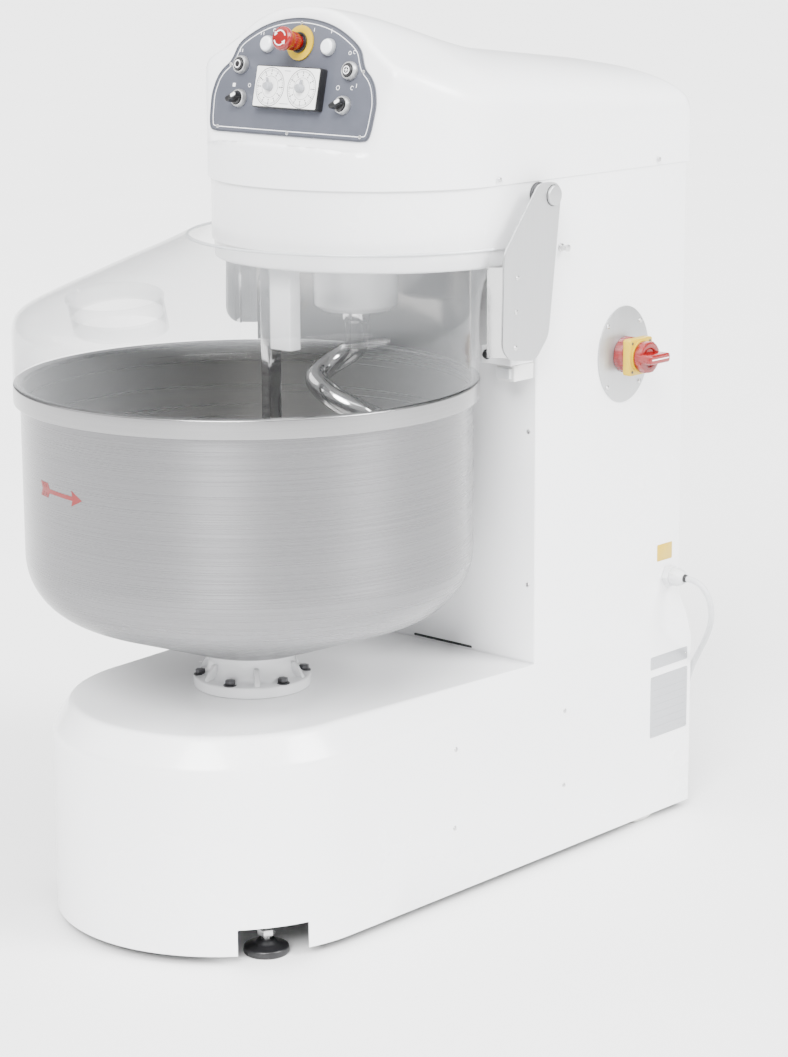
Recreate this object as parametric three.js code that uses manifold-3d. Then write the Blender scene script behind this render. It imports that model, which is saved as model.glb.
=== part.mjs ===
// Spiral dough mixer for a bakery: a steel bowl that turns on a pedestal, a spiral arm and a fixed
// breaker bar in it, a clear lid that swings up, and a column that holds the head and its controls.
// Millimetres, +Z up, +X to the machine's right, the operator stands at -Y. The origin is on the
// floor at the middle of the machine.
import * as THREE from 'three';
import { mergeVertices } from 'three/addons/utils/BufferGeometryUtils.js';
import Module from 'manifold-3d';

const wasm = await Module();
wasm.setup();

// ---- driving dimensions ----
const GAP = 0.3; // clearance left between touching pieces
const HALF_WIDTH = 288; // half width of base, column and head
const HEIGHT = 1500;
const REAR_Y = 625; // rear face of the base
const SKIRT_Z = 15; // lower edge of the base shell
const BASE_TOP_Z = 375;
const CHAMFER_Z = 327; // lower edge of the base's top chamfer
const CHAMFER_INSET = 31;
const BASE_NOSE_Y = -308; // centre of the base's half-round front
const COLUMN_FRONT_Y = 161;
const COLUMN_REAR_Y = 581;
const SEAM_Z = 1212; // where the hood sits on the column and head
const HEAD_BOTTOM_Z = 1076;
const HEAD_NOSE_Y = 87; // centre of the head's half-round front
const HOOD_PROUD = 5; // how far the hood stands out past the head
const SKIN = 4; // wall of the painted shells
const SHEET_T = 2; // thickness of the covers screwed on
const WINDOW_HALF = 262; // half width of the openings in base and column
const SWEEP_LOW_Z = 325; // the rear edge sweeps out from the column to the base below SWEEP_HIGH_Z
const SWEEP_HIGH_Z = 450;
const HEAD_BAND_Z = 1106; // top of the narrower band at the head's lower edge
const HEAD_BAND_INSET = 4;
const HOOD_FRONT_Y = -230;
const HOOD_REAR_Y = COLUMN_REAR_Y + 17;
const HOOD_EDGE_Z = 1285; // where the hood's sides turn into its roof
const HOOD_CREST_Z = 1440;
const HOOD_ROUND_Y = 508; // from here the roof rounds down to the rear
const HOOD_ROUND_Z = 1300;

const BOWL_Y = -240; // axis of the bowl
const BOWL_RIM_R = 385;
const BOWL_R = 374;
const BOWL_TOP_Z = 902;
const BOWL_BOTTOM_Z = 442;
const BOWL_KNUCKLE_Z = 616; // where the wall starts to curve in
const BOWL_KNUCKLE_R = 108;
const BOWL_WALL = 4;
const KNUCKLE_STEPS = 5;

const SPIRAL_Y = 26; // axis of the spiral arm
const SPIRAL_R = 74; // centre line of the spiral arm
const SPIRAL_TUBE_R = 21;
const SPIRAL_SHAFT_R = 21;
const SPIRAL_TURNS = 1.375;
const SPIRAL_TOP_Z = 925;
const SPIRAL_DROP = 318;
const HUB_R = 72;
const HUB_BOTTOM_Z = 984;
const BREAKER_FRONT_Y = -162;
const GUARD_R = 370; // inner face of the guard behind the arm
const GUARD_T = 3;

const BOWL_PULLEY_R = 130;
const BOWL_PULLEY_Z = 185;
const BOWL_MOTOR_Y = 40;
const BOWL_MOTOR_PULLEY_R = 40;
const SPIRAL_PULLEY_R = 140;
const SPIRAL_PULLEY_Z = 1238;
const SPIRAL_MOTOR_Y = 390;
const SPIRAL_MOTOR_PULLEY_R = 42;
const PULLEY_T = 50;
const MOTOR_SHAFT_R = 14;
const BELT_T = 8;

const LID_PIVOT_Y = 160.5;
const LID_PIVOT_Z = 1190;
const LID_ARM_X = 319; // inner face of a lid arm
const LID_ARM_T = 4;
const LID_WALL = 4;
const LID_BOTTOM_Z = 905;
const LID_SHOULDER_Z = 1010;
const LID_RING_Z = 1116;
const LID_END_Y = 24; // where the lid's ends stop
const HOPPER_Y = -524; // middle of the filling opening in the lid
const HOPPER_Z = 1036;
const HOPPER_R = [92, 60]; // half width and half depth of its collar
const HOPPER_TILT = THREE.MathUtils.degToRad(14);

const PANEL_LEAN = THREE.MathUtils.degToRad(12.5);
const PANEL_FOOT = new THREE.Vector3(0, -138.4, 1295.8); // middle of the panel's lower edge line
const PANEL_T = 3;
const BUTTON_X = 124;
const BUTTON_Y = 107;
const SELECTOR_X = 118.5;
const SELECTOR_Y = 51;
const LAMP_X = 69;
const LAMP_Y = 143.5;
const ESTOP_X = 4;
const ESTOP_Y = 148;
const TIMER_X = 36;
const TIMER_Y = 72;
const TIMER_FACE = 18; // height of the timer box over the panel

const SWITCH_Y = 402;
const SWITCH_Z = 889;
const GLAND_Y = 546;
const GLAND_Z = 462;
const CORD_D = 11;
// cable's centre line from the gland to the floor behind the machine
const CORD_ROUTE = [
  [331.6, 546, 462], [343, 546.2, 461.4], [355, 547, 457.5], [365.5, 548, 450], [373, 549.5, 440],
  [377.5, 552, 428], [378.5, 555.5, 415], [376, 561, 400], [370.5, 568, 385], [360, 578, 368],
  [346, 590.5, 350], [330, 603.5, 331], [312, 617.5, 311], [294, 630.5, 290], [277, 641.5, 266],
  [262, 650.5, 238], [249, 658, 204], [238, 663.5, 164], [229, 667.5, 116], [222, 669.5, 82],
  [217.5, 669.8, 60], [210.5, 667.5, 35.5], [198, 663, 18.5], [183.5, 658, 9.8], [170, 653.5, 7],
  [156, 648.6, 7],
];
const COIL_X = 100;
const COIL_Y = 712;
const COIL_R = 65; // middle of its turns
const COIL_TOP_Z = 24;
const PLUG_Y = 660;
const PLUG_Z = 28.5;
const PLUG_R = 28;

const WHEEL_Y = 498;
const WHEEL_R = 78;
const WHEEL_WIDTH = 38;
const AXLE_R = 10;
const FOOT_ANGLE = THREE.MathUtils.degToRad(29.5);
const FOOT_CENTRE_R = 238; // from the centre of the base's nose
const FOOT_R = 38;

// ---- colours, as [colour, roughness, metalness] ----
const WHITE = [0xf2f3f5, 0.35, 0.0];
const STEEL = [0xb9bbbd, 0.3, 1.0];
const SATIN = [0xd2d2d4, 0.45, 0.9];
const DARK = [0x2b2c2e, 0.5, 0.2];
const PANEL_GREY = [0x8f929c, 0.5, 0.1];
const CLEAR = [0xe8eef2, 0.05, 0.0];
const RED = [0xc9141c, 0.35, 0.0];
const DARK_RED = [0x7a1418, 0.4, 0.0];
const YELLOW = [0xf2d416, 0.4, 0.0];
const GREY = [0x9a9da0, 0.5, 0.1];
const BLACK = [0x17181a, 0.5, 0.0];
const NYLON = [0xd8d9d6, 0.55, 0.0];

const model = new THREE.Group();

// ---- helpers: solids, booleans and placing ----
function solid(geometry) {
  const bare = geometry.clone();
  bare.deleteAttribute('normal');
  bare.deleteAttribute('uv');
  const merged = mergeVertices(bare, 1e-4);
  const vertProperties = new Float32Array(merged.attributes.position.array);
  const triVerts = new Uint32Array(merged.index.array);
  return new wasm.Manifold(new wasm.Mesh({ numProp: 3, vertProperties, triVerts }));
}

function geometryOf(manifold) {
  const mesh = manifold.getMesh();
  const geometry = new THREE.BufferGeometry();
  geometry.setAttribute('position', new THREE.BufferAttribute(mesh.vertProperties, 3));
  geometry.setIndex(new THREE.BufferAttribute(mesh.triVerts, 1));
  geometry.computeVertexNormals();
  return geometry;
}

function cut(first, ...others) {
  let result = solid(first);
  for (const other of others) {
    result = result.subtract(solid(other));
  }
  return geometryOf(result);
}

function join(first, ...others) {
  let result = solid(first);
  for (const other of others) {
    result = result.add(solid(other));
  }
  return geometryOf(result);
}

function common(first, second) {
  return geometryOf(solid(first).intersect(solid(second)));
}

function put(name, geometry, look, parent = model) {
  const [color, roughness, metalness] = look;
  const material = new THREE.MeshStandardMaterial({ color, roughness, metalness });
  if (look === CLEAR) {
    material.transparent = true;
    material.opacity = 0.25;
  }
  const mesh = new THREE.Mesh(geometry, material);
  mesh.name = name;
  parent.add(mesh);
  return mesh;
}

// box from its lowest to its highest corner
function box(low, high) {
  const size = high.map((value, i) => value - low[i]);
  const middle = high.map((value, i) => (value + low[i]) / 2);
  return new THREE.BoxGeometry(...size).translate(...middle);
}

// upright cylinder between two heights
function post(x, y, lowZ, highZ, radius, sides = 32) {
  const geometry = new THREE.CylinderGeometry(radius, radius, highZ - lowZ, sides);
  return geometry.rotateX(Math.PI / 2).translate(x, y, (lowZ + highZ) / 2);
}

// cylinder along X between two x values
function pinX(lowX, highX, y, z, radius, sides = 24) {
  const geometry = new THREE.CylinderGeometry(radius, radius, highX - lowX, sides);
  return geometry.rotateZ(Math.PI / 2).translate((lowX + highX) / 2, y, z);
}

// outline in the XY plane raised from lowZ to highZ
function slab(shape, lowZ, highZ, curveSegments = 24) {
  const options = { depth: highZ - lowZ, bevelEnabled: false, curveSegments };
  return new THREE.ExtrudeGeometry(shape, options).translate(0, 0, lowZ);
}

// outline drawn in (y, z) raised from lowX to highX
function sidePlate(shape, lowX, highX, curveSegments = 12) {
  const options = { depth: highX - lowX, bevelEnabled: false, curveSegments };
  const geometry = new THREE.ExtrudeGeometry(shape, options);
  const turn = new THREE.Matrix4().makeBasis(
    new THREE.Vector3(0, 1, 0), new THREE.Vector3(0, 0, 1), new THREE.Vector3(1, 0, 0));
  return geometry.applyMatrix4(turn).translate(lowX, 0, 0);
}

// profile of [radius, z] pairs turned about an upright axis
function turned(profile, y = 0, x = 0, sides = 48) {
  const points = profile.map(([radius, z]) => new THREE.Vector2(radius, z));
  return new THREE.LatheGeometry(points, sides).rotateX(Math.PI / 2).translate(x, y, 0);
}

// plan outline: straight rear, straight sides and a half-round front about noseY
function bulletShape(halfWidth, noseY, rearY) {
  const shape = new THREE.Shape();
  shape.moveTo(halfWidth, rearY);
  shape.lineTo(-halfWidth, rearY);
  shape.lineTo(-halfWidth, noseY);
  shape.absarc(0, noseY, halfWidth, Math.PI, 2 * Math.PI, false);
  shape.lineTo(halfWidth, rearY);
  return shape;
}

// closed solid through rings of equal length: rings[i] is a list of Vector3
function loft(rings) {
  const count = rings[0].length;
  const positions = rings.flat().flatMap((point) => [point.x, point.y, point.z]);
  const faces = [];
  for (let i = 0; i + 1 < rings.length; i += 1) {
    for (let j = 0; j < count; j += 1) {
      const k = (j + 1) % count;
      const a = i * count + j;
      const b = i * count + k;
      faces.push(a, b, b + count, a, b + count, a + count);
    }
  }
  const capped = (ring, offset, flip) => {
    const flat = ringPlane(ring);
    for (const [a, b, c] of THREE.ShapeUtils.triangulateShape(flat, [])) {
      faces.push(...(flip ? [offset + a, offset + c, offset + b] : [offset + a, offset + b, offset + c]));
    }
  };
  capped(rings[0], 0, true);
  capped(rings.at(-1), (rings.length - 1) * count, false);
  const geometry = new THREE.BufferGeometry();
  geometry.setAttribute('position', new THREE.Float32BufferAttribute(positions, 3));
  geometry.setIndex(faces);
  return geometry;
}

// a ring's points flattened to its own plane, turning the way the ring turns
function ringPlane(ring) {
  const normal = new THREE.Vector3();
  for (let i = 0; i < ring.length; i += 1) {
    normal.add(new THREE.Vector3().crossVectors(ring[i], ring[(i + 1) % ring.length]));
  }
  normal.normalize();
  const along = ring[1].clone().sub(ring[0]).projectOnPlane(normal).normalize();
  const across = new THREE.Vector3().crossVectors(normal, along);
  return ring.map((point) => new THREE.Vector2(point.dot(along), point.dot(across)));
}

// ---- body: base, column and head ----

// plan outline as points, front half-round included, counter-clockwise from the rear right corner
function bulletPoints(halfWidth, noseY, rearY, sideSteps, noseSteps) {
  const points = [];
  for (let i = 0; i <= sideSteps; i += 1) {
    points.push([-halfWidth, THREE.MathUtils.lerp(rearY, noseY, i / sideSteps)]);
  }
  for (let i = 1; i < noseSteps; i += 1) {
    const angle = Math.PI + (Math.PI * i) / noseSteps;
    points.push([halfWidth * Math.cos(angle), noseY + halfWidth * Math.sin(angle)]);
  }
  for (let i = sideSteps; i >= 0; i -= 1) {
    points.push([halfWidth, THREE.MathUtils.lerp(rearY, noseY, i / sideSteps)]);
  }
  return points;
}

// base casing outline at one height, drawn in by the chamfer towards the front
function baseRing(halfWidth, z, inset) {
  const points = bulletPoints(halfWidth, BASE_NOSE_Y, REAR_Y - (HALF_WIDTH - halfWidth), 8, 28);
  return points.map(([x, y]) => {
    const towardsFront = (COLUMN_FRONT_Y - y) / (COLUMN_FRONT_Y - BASE_NOSE_Y);
    const drawIn = inset * THREE.MathUtils.clamp(towardsFront, 0, 1);
    const scale = (halfWidth - drawIn) / halfWidth;
    const noseY = y < BASE_NOSE_Y ? BASE_NOSE_Y + (y - BASE_NOSE_Y) * scale : y;
    return new THREE.Vector3(x * scale, noseY, z);
  });
}

// rear edge of the side skins in (y, z): straight down, then an outward sweep to the base
function rearSweep(lowZ, highZ, inset = 0) {
  const baseY = REAR_Y - inset;
  const columnY = COLUMN_REAR_Y - inset;
  const farY = -700; // in front of everything
  const shape = new THREE.Shape();
  shape.moveTo(farY, lowZ);
  shape.lineTo(baseY, lowZ);
  shape.lineTo(baseY, SWEEP_LOW_Z);
  shape.bezierCurveTo(baseY, SWEEP_LOW_Z + 47, columnY, SWEEP_HIGH_Z - 48, columnY, SWEEP_HIGH_Z);
  shape.lineTo(columnY, highZ);
  shape.lineTo(farY, highZ);
  return sidePlate(shape, -400, 400, 10);
}

// opening in the skirt over a front foot; side is -1 at the left and 1 at the right
function footNotch(side) {
  const notch = box([-60, -50, SKIRT_Z - 10], [60, 50, 60]);
  const distance = HALF_WIDTH - 10;
  const x = side * distance * Math.cos(FOOT_ANGLE);
  const y = BASE_NOSE_Y - distance * Math.sin(FOOT_ANGLE);
  return notch.rotateZ(side * (Math.PI / 2 - FOOT_ANGLE)).translate(x, y, 0);
}

function makeBaseShell() {
  const outer = loft([
    baseRing(HALF_WIDTH, SKIRT_Z, 0),
    baseRing(HALF_WIDTH, CHAMFER_Z, 0),
    baseRing(HALF_WIDTH, BASE_TOP_Z, CHAMFER_INSET),
  ]);
  const inner = loft([
    baseRing(HALF_WIDTH - SKIN, SKIRT_Z - 5, 0),
    baseRing(HALF_WIDTH - SKIN, CHAMFER_Z - SKIN, 0),
    baseRing(HALF_WIDTH - SKIN, BASE_TOP_Z - SKIN, CHAMFER_INSET),
  ]);
  const swept = common(outer, rearSweep(0, BASE_TOP_Z + 1));
  const hollow = common(inner, rearSweep(0, BASE_TOP_Z - SKIN, SKIN));
  const columnOpening = box(
    [-WINDOW_HALF, COLUMN_FRONT_Y + 20, 300], [WINDOW_HALF, COLUMN_REAR_Y - 20, 400]);
  const shaftHole = post(0, BOWL_Y, 300, 400, 60);
  put('base_shell', cut(swept, hollow, columnOpening, shaftHole, footNotch(1), footNotch(-1)), WHITE);
}

function makeColumnShell() {
  const frontY = COLUMN_FRONT_Y + SHEET_T + GAP;
  const lowZ = BASE_TOP_Z + GAP;
  const block = box([-HALF_WIDTH, frontY, lowZ], [HALF_WIDTH, REAR_Y, SEAM_Z - GAP]);
  const outer = common(block, rearSweep(0, SEAM_Z));
  const inner = common(
    box([-HALF_WIDTH + SKIN, frontY + SKIN, lowZ - 1], [HALF_WIDTH - SKIN, REAR_Y, SEAM_Z]),
    rearSweep(0, SEAM_Z, SKIN));
  const frontWindow = box([-WINDOW_HALF, frontY - 1, 420], [WINDOW_HALF, frontY + SKIN + 1, 1050]);
  const headWindow = box([-WINDOW_HALF, frontY - 1, 1090], [WINDOW_HALF, frontY + SKIN + 1, 1195]);
  const rearWindow = box([-240, COLUMN_REAR_Y - 10, 480], [240, COLUMN_REAR_Y + 10, 1160]);
  put('column_shell', cut(outer, inner, frontWindow, headWindow, rearWindow), WHITE);
  const frontCover = box(
    [-HALF_WIDTH + 1, COLUMN_FRONT_Y, lowZ + 4],
    [HALF_WIDTH - 1, COLUMN_FRONT_Y + SHEET_T, HEAD_BOTTOM_Z - 2 * GAP]);
  put('column_front_cover', frontCover, WHITE);
  const rearY = COLUMN_REAR_Y + GAP;
  put('rear_cover', box([-WINDOW_HALF, rearY, 462], [WINDOW_HALF, rearY + SHEET_T, 1178]), WHITE);
}

function makeHeadShell() {
  const rearY = COLUMN_FRONT_Y + SHEET_T;
  const upper = slab(bulletShape(HALF_WIDTH, HEAD_NOSE_Y, rearY), HEAD_BAND_Z, SEAM_Z - GAP, 24);
  const bandPlan = bulletShape(HALF_WIDTH - HEAD_BAND_INSET, HEAD_NOSE_Y, rearY);
  const band = slab(bandPlan, HEAD_BOTTOM_Z, HEAD_BAND_Z + 0.5, 24);
  const inner = slab(bulletShape(HALF_WIDTH - 8, HEAD_NOSE_Y, rearY + 10), HEAD_BOTTOM_Z + SKIN, SEAM_Z, 16);
  const shaftHole = post(0, SPIRAL_Y, HEAD_BOTTOM_Z - 1, 1090, 40);
  put('head_shell', cut(join(upper, band), inner, shaftHole), WHITE);
}

// height of the hood over a point: a long barrel that falls to the rear, and a fairing for the panel
function hoodHeight(x, y) {
  const arch = (halfWidth, crest, power) => {
    const across = Math.min(1, Math.abs(x) / halfWidth);
    return HOOD_EDGE_Z + (crest - HOOD_EDGE_Z) * (1 - across ** power) ** (1 / power);
  };
  const barrel = arch(HALF_WIDTH + HOOD_PROUD + 2, HOOD_CREST_Z - 0.11 * Math.max(0, y - 60), 2.5);
  const past = Math.max(0, y + 80);
  const fairing = arch(186, HEIGHT - 0.1 * past - 0.0007 * past ** 2, 2.35);
  const surface = Math.max(barrel, fairing);
  if (y < HOOD_ROUND_Y) {
    return surface;
  }
  const intoRear = Math.min(1, (y - HOOD_ROUND_Y) / 92);
  return Math.min(surface, HOOD_ROUND_Z + 90 * Math.sqrt(1 - intoRear ** 2));
}

// block under the hood's surface, drawn in by a wall thickness
function hoodBlock(lowZ, wall, stepsX, stepsY) {
  const halfWidth = HALF_WIDTH + HOOD_PROUD + 2;
  const rearY = HOOD_REAR_Y - wall;
  const rings = [];
  for (let j = 0; j <= stepsY; j += 1) {
    const y = THREE.MathUtils.lerp(rearY, HOOD_FRONT_Y, j / stepsY);
    const ring = [new THREE.Vector3(-halfWidth, y, lowZ), new THREE.Vector3(halfWidth, y, lowZ)];
    for (let i = stepsX; i >= 0; i -= 1) {
      const x = -halfWidth * Math.cos((Math.PI * i) / stepsX);
      ring.push(new THREE.Vector3(x, y, hoodHeight(x, y) - wall));
    }
    rings.push(ring);
  }
  return loft(rings);
}

// everything in front of the control face, as a block in the panel's own axes
function panelFrontBlock(setBack, below) {
  const block = box([-400, -below, -setBack], [400, 400, 300]);
  return block.rotateX(Math.PI / 2 - PANEL_LEAN).translate(...PANEL_FOOT);
}

function makeHood() {
  const outside = bulletShape(HALF_WIDTH + HOOD_PROUD, HEAD_NOSE_Y, HOOD_REAR_Y);
  const inside = bulletShape(HALF_WIDTH - 2, HEAD_NOSE_Y, HOOD_REAR_Y - 40);
  const plan = slab(outside, SEAM_Z, HEIGHT + 10, 30);
  const planInside = slab(inside, SEAM_Z - 5, HEIGHT, 20);
  const outer = common(plan, hoodBlock(SEAM_Z, 0, 20, 20));
  const inner = common(planInside, hoodBlock(SEAM_Z - 5, 9, 12, 14));
  const shell = cut(outer, panelFrontBlock(PANEL_T + GAP, 24));
  put('hood', cut(shell, cut(inner, panelFrontBlock(PANEL_T + 8, 30))), WHITE);
}

// ---- control panel, in its own axes: x across, y up the panel, z out of it ----
const panel = new THREE.Group();
panel.position.copy(PANEL_FOOT);
panel.rotation.x = Math.PI / 2 - PANEL_LEAN;
model.add(panel);

function disc(x, y, lowZ, highZ, radius, sides = 24) {
  return post(x, y, lowZ, highZ, radius, sides);
}

function ring(x, y, lowZ, highZ, radius, holeRadius) {
  return cut(disc(x, y, lowZ, highZ, radius), disc(x, y, lowZ - 1, highZ + 1, holeRadius, 20));
}

function panelOutline() {
  const half = [[46, 185.5], [86, 174], [121, 156], [140, 141], [153, 112], [169, 99], [180, 83], [187, 58]];
  const shape = new THREE.Shape();
  shape.moveTo(0, 190);
  for (const [x, y] of half) {
    shape.lineTo(x, y);
  }
  shape.lineTo(184, 12);
  shape.quadraticCurveTo(181, -6, 163, -6);
  shape.lineTo(-163, -6);
  shape.quadraticCurveTo(-181, -6, -184, 12);
  for (const [x, y] of half.reverse()) {
    shape.lineTo(-x, y);
  }
  return shape;
}

function makePanel() {
  put('control_panel', slab(panelOutline(), -PANEL_T, 0, 5), PANEL_GREY, panel);
  put('timer_box', box([-73, 37, GAP], [73, 107, TIMER_FACE]), WHITE, panel);
  for (const [side, sign] of [['left', -1], ['right', 1]]) {
    const knob = disc(sign * TIMER_X, TIMER_Y, TIMER_FACE + GAP, 30, 8, 16);
    put(`timer_knob_${side}`, knob, GREY, panel);
    put(`lamp_${side}`, disc(sign * LAMP_X, LAMP_Y, GAP, 11, 13.5), WHITE, panel);
    put(`button_bezel_${side}`, ring(sign * BUTTON_X, BUTTON_Y, GAP, 10, 14.5, 11.5), GREY, panel);
    put(`push_button_${side}`, disc(sign * BUTTON_X, BUTTON_Y, 5, 12.5, 10.5, 18), BLACK, panel);
    const x = sign * SELECTOR_X;
    put(`selector_bezel_${side}`, ring(x, SELECTOR_Y, GAP, 10, 14.5, 11.5), GREY, panel);
    const lever = box([-13, -4.5, 11], [13, 4.5, 25]).rotateZ(0.5).translate(x, SELECTOR_Y, 0);
    put(`selector_${side}`, join(disc(x, SELECTOR_Y, 3, 13, 10.5, 18), lever), BLACK, panel);
  }
  put('estop_collar', ring(ESTOP_X, ESTOP_Y, GAP, 4, 29, 13.5), YELLOW, panel);
  const stem = disc(ESTOP_X, ESTOP_Y, 6, 30, 12);
  put('estop_button', join(stem, disc(ESTOP_X, ESTOP_Y, 14, 52, 20)), RED, panel);
}

// ---- bowl and its drive ----
// bowl's wall from the knuckle down to the axis as [radius, z] pairs, drawn in by an offset
function bowlWall(offset) {
  const kneeR = BOWL_R - BOWL_KNUCKLE_R;
  const points = [];
  const slope = THREE.MathUtils.degToRad(19.5);
  for (let i = 0; i <= KNUCKLE_STEPS; i += 1) {
    const angle = (Math.PI / 2 - slope) * (i / KNUCKLE_STEPS);
    const radius = BOWL_KNUCKLE_R - offset;
    points.push([kneeR + radius * Math.cos(angle), BOWL_KNUCKLE_Z - radius * Math.sin(angle)]);
  }
  const [endR, endZ] = points.at(-1);
  const centreZ = BOWL_BOTTOM_Z + offset;
  points.push([endR - (endZ - centreZ) / Math.tan(slope), centreZ]);
  points.push([0, centreZ]);
  return points;
}

function makeBowl() {
  const bandBottom = BOWL_TOP_Z - 31;
  const outside = [[BOWL_R, bandBottom], ...bowlWall(0)].reverse();
  const inside = bowlWall(BOWL_WALL);
  const profile = [...outside, [BOWL_RIM_R, bandBottom], [BOWL_RIM_R, BOWL_TOP_Z],
    [BOWL_R - BOWL_WALL, BOWL_TOP_Z], ...inside];
  put('bowl', turned(profile, BOWL_Y, 0, 52), STEEL);
  const pulleyTop = BOWL_PULLEY_Z + PULLEY_T + 1;
  put('bowl_shaft', post(0, BOWL_Y, pulleyTop, BOWL_BOTTOM_Z - GAP, 35, 24), STEEL);
  put('bowl_pulley', post(0, BOWL_Y, BOWL_PULLEY_Z, pulleyTop - GAP, BOWL_PULLEY_R, 32), DARK);
}

function makePedestal() {
  const low = BASE_TOP_Z + GAP;
  const high = BOWL_BOTTOM_Z - 4;
  const bore = 38;
  const profile = [[bore, low], [100, low], [100, low + 20], [78, low + 24], [74, low + 50],
    [80, high], [bore, high], [bore, low]];
  let pedestal = turned(profile, BOWL_Y, 0, 32);
  for (let i = 0; i < 6; i += 1) {
    const rib = box([70, -5, low + 10], [94, 5, low + 44]).rotateZ((i * Math.PI) / 3 + 0.35);
    pedestal = join(pedestal, rib.translate(0, BOWL_Y, 0));
  }
  put('pedestal', pedestal, WHITE);
}

// closed belt round two equal-height pulleys
function beltLoop(y1, r1, y2, r2, thickness, lowZ, highZ) {
  const outline = (grow) => {
    const shape = new THREE.Shape();
    const tilt = Math.asin((r1 - r2) / Math.abs(y2 - y1));
    shape.absarc(0, y1, r1 + grow, Math.PI - tilt, 2 * Math.PI + tilt, false);
    shape.absarc(0, y2, r2 + grow, tilt, Math.PI - tilt, false);
    return shape;
  };
  return cut(slab(outline(thickness), lowZ, highZ, 10), slab(outline(1.6), lowZ - 1, highZ + 1, 10));
}

function makeDrives() {
  const lowMotor = post(0, BOWL_MOTOR_Y, 244, 360, 75, 24);
  const lowShaft = post(0, BOWL_MOTOR_Y, 240, 250, MOTOR_SHAFT_R, 16);
  put('bowl_motor', join(lowMotor, lowShaft), GREY);
  const lowPulley = post(0, BOWL_MOTOR_Y, BOWL_PULLEY_Z, 240 - GAP, BOWL_MOTOR_PULLEY_R, 24);
  put('bowl_motor_pulley', lowPulley, DARK);
  const bowlBelt = beltLoop(
    BOWL_Y, BOWL_PULLEY_R, BOWL_MOTOR_Y, BOWL_MOTOR_PULLEY_R, BELT_T, BOWL_PULLEY_Z + 7, BOWL_PULLEY_Z + 43);
  put('bowl_belt', bowlBelt, BLACK);
  const low = SPIRAL_PULLEY_Z;
  const high = low + PULLEY_T;
  put('spiral_pulley', post(0, SPIRAL_Y, low, high, SPIRAL_PULLEY_R, 32), DARK);
  const highMotor = post(0, SPIRAL_MOTOR_Y, 900, 1200, 95, 24);
  const highShaft = post(0, SPIRAL_MOTOR_Y, 1190, low - GAP, MOTOR_SHAFT_R, 16);
  put('spiral_motor', join(highMotor, highShaft), GREY);
  put('spiral_motor_pulley', post(0, SPIRAL_MOTOR_Y, low, high, SPIRAL_MOTOR_PULLEY_R, 24), DARK);
  const spiralBelt = beltLoop(
    SPIRAL_Y, SPIRAL_PULLEY_R, SPIRAL_MOTOR_Y, SPIRAL_MOTOR_PULLEY_R, BELT_T, low + 7, high - 7);
  put('spiral_belt', spiralBelt, BLACK);
  put('electrical_box', box([-190, 500, 620], [190, 570, 1000]), GREY);
}

// ---- spiral arm, breaker and rear guard ----
class SpiralPath extends THREE.Curve {
  getPoint(t) {
    const startAngle = THREE.MathUtils.degToRad(170);
    const angle = startAngle + t * SPIRAL_TURNS * 2 * Math.PI;
    const spread = THREE.MathUtils.smoothstep(t, 0, 0.16);
    const closing = THREE.MathUtils.smoothstep(t, 0.72, 1);
    const radius = SPIRAL_R * spread - 34 * closing;
    const z = SPIRAL_TOP_Z - SPIRAL_DROP * t - 12 * spread;
    return new THREE.Vector3(radius * Math.cos(angle), SPIRAL_Y + radius * Math.sin(angle), z);
  }
}

function makeSpiral() {
  const section = new THREE.Shape();
  section.absellipse(0, 0, SPIRAL_TUBE_R, SPIRAL_TUBE_R - 3, 0, 2 * Math.PI);
  const options = { steps: 44, curveSegments: 4, bevelEnabled: false, extrudePath: new SpiralPath() };
  const arm = new THREE.ExtrudeGeometry(section, options);
  const shaft = post(0, SPIRAL_Y, SPIRAL_TOP_Z - 7, SPIRAL_PULLEY_Z - GAP, SPIRAL_SHAFT_R, 24);
  put('spiral_arm', join(shaft, arm), STEEL);
  const bore = SPIRAL_SHAFT_R + 3;
  const profile = [[bore, HUB_BOTTOM_Z], [HUB_R - 8, HUB_BOTTOM_Z], [HUB_R, HUB_BOTTOM_Z + 8],
    [HUB_R, HEAD_BOTTOM_Z - GAP], [bore, HEAD_BOTTOM_Z - GAP], [bore, HUB_BOTTOM_Z]];
  put('spiral_housing', turned(profile, SPIRAL_Y, 0, 32), WHITE);
}

function makeBreaker() {
  const postTop = HEAD_BOTTOM_Z - GAP;
  put('breaker_post', box([-23.5, BREAKER_FRONT_Y, 936], [23.5, BREAKER_FRONT_Y + 27, postTop]), WHITE);
  put('breaker_bar', box([-46, BREAKER_FRONT_Y - 1, 480], [-23.8, BREAKER_FRONT_Y + 29, postTop]), STEEL);
}

function makeRearGuard() {
  const from = THREE.MathUtils.degToRad(48);
  const shape = new THREE.Shape();
  shape.absarc(0, BOWL_Y, GUARD_R + GUARD_T, from, Math.PI - from, false);
  shape.absarc(0, BOWL_Y, GUARD_R, Math.PI - from, from, true);
  put('rear_guard', slab(shape, BOWL_TOP_Z + 3, HEAD_BOTTOM_Z - GAP, 28), STEEL);
}

// ---- lid ----

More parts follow.
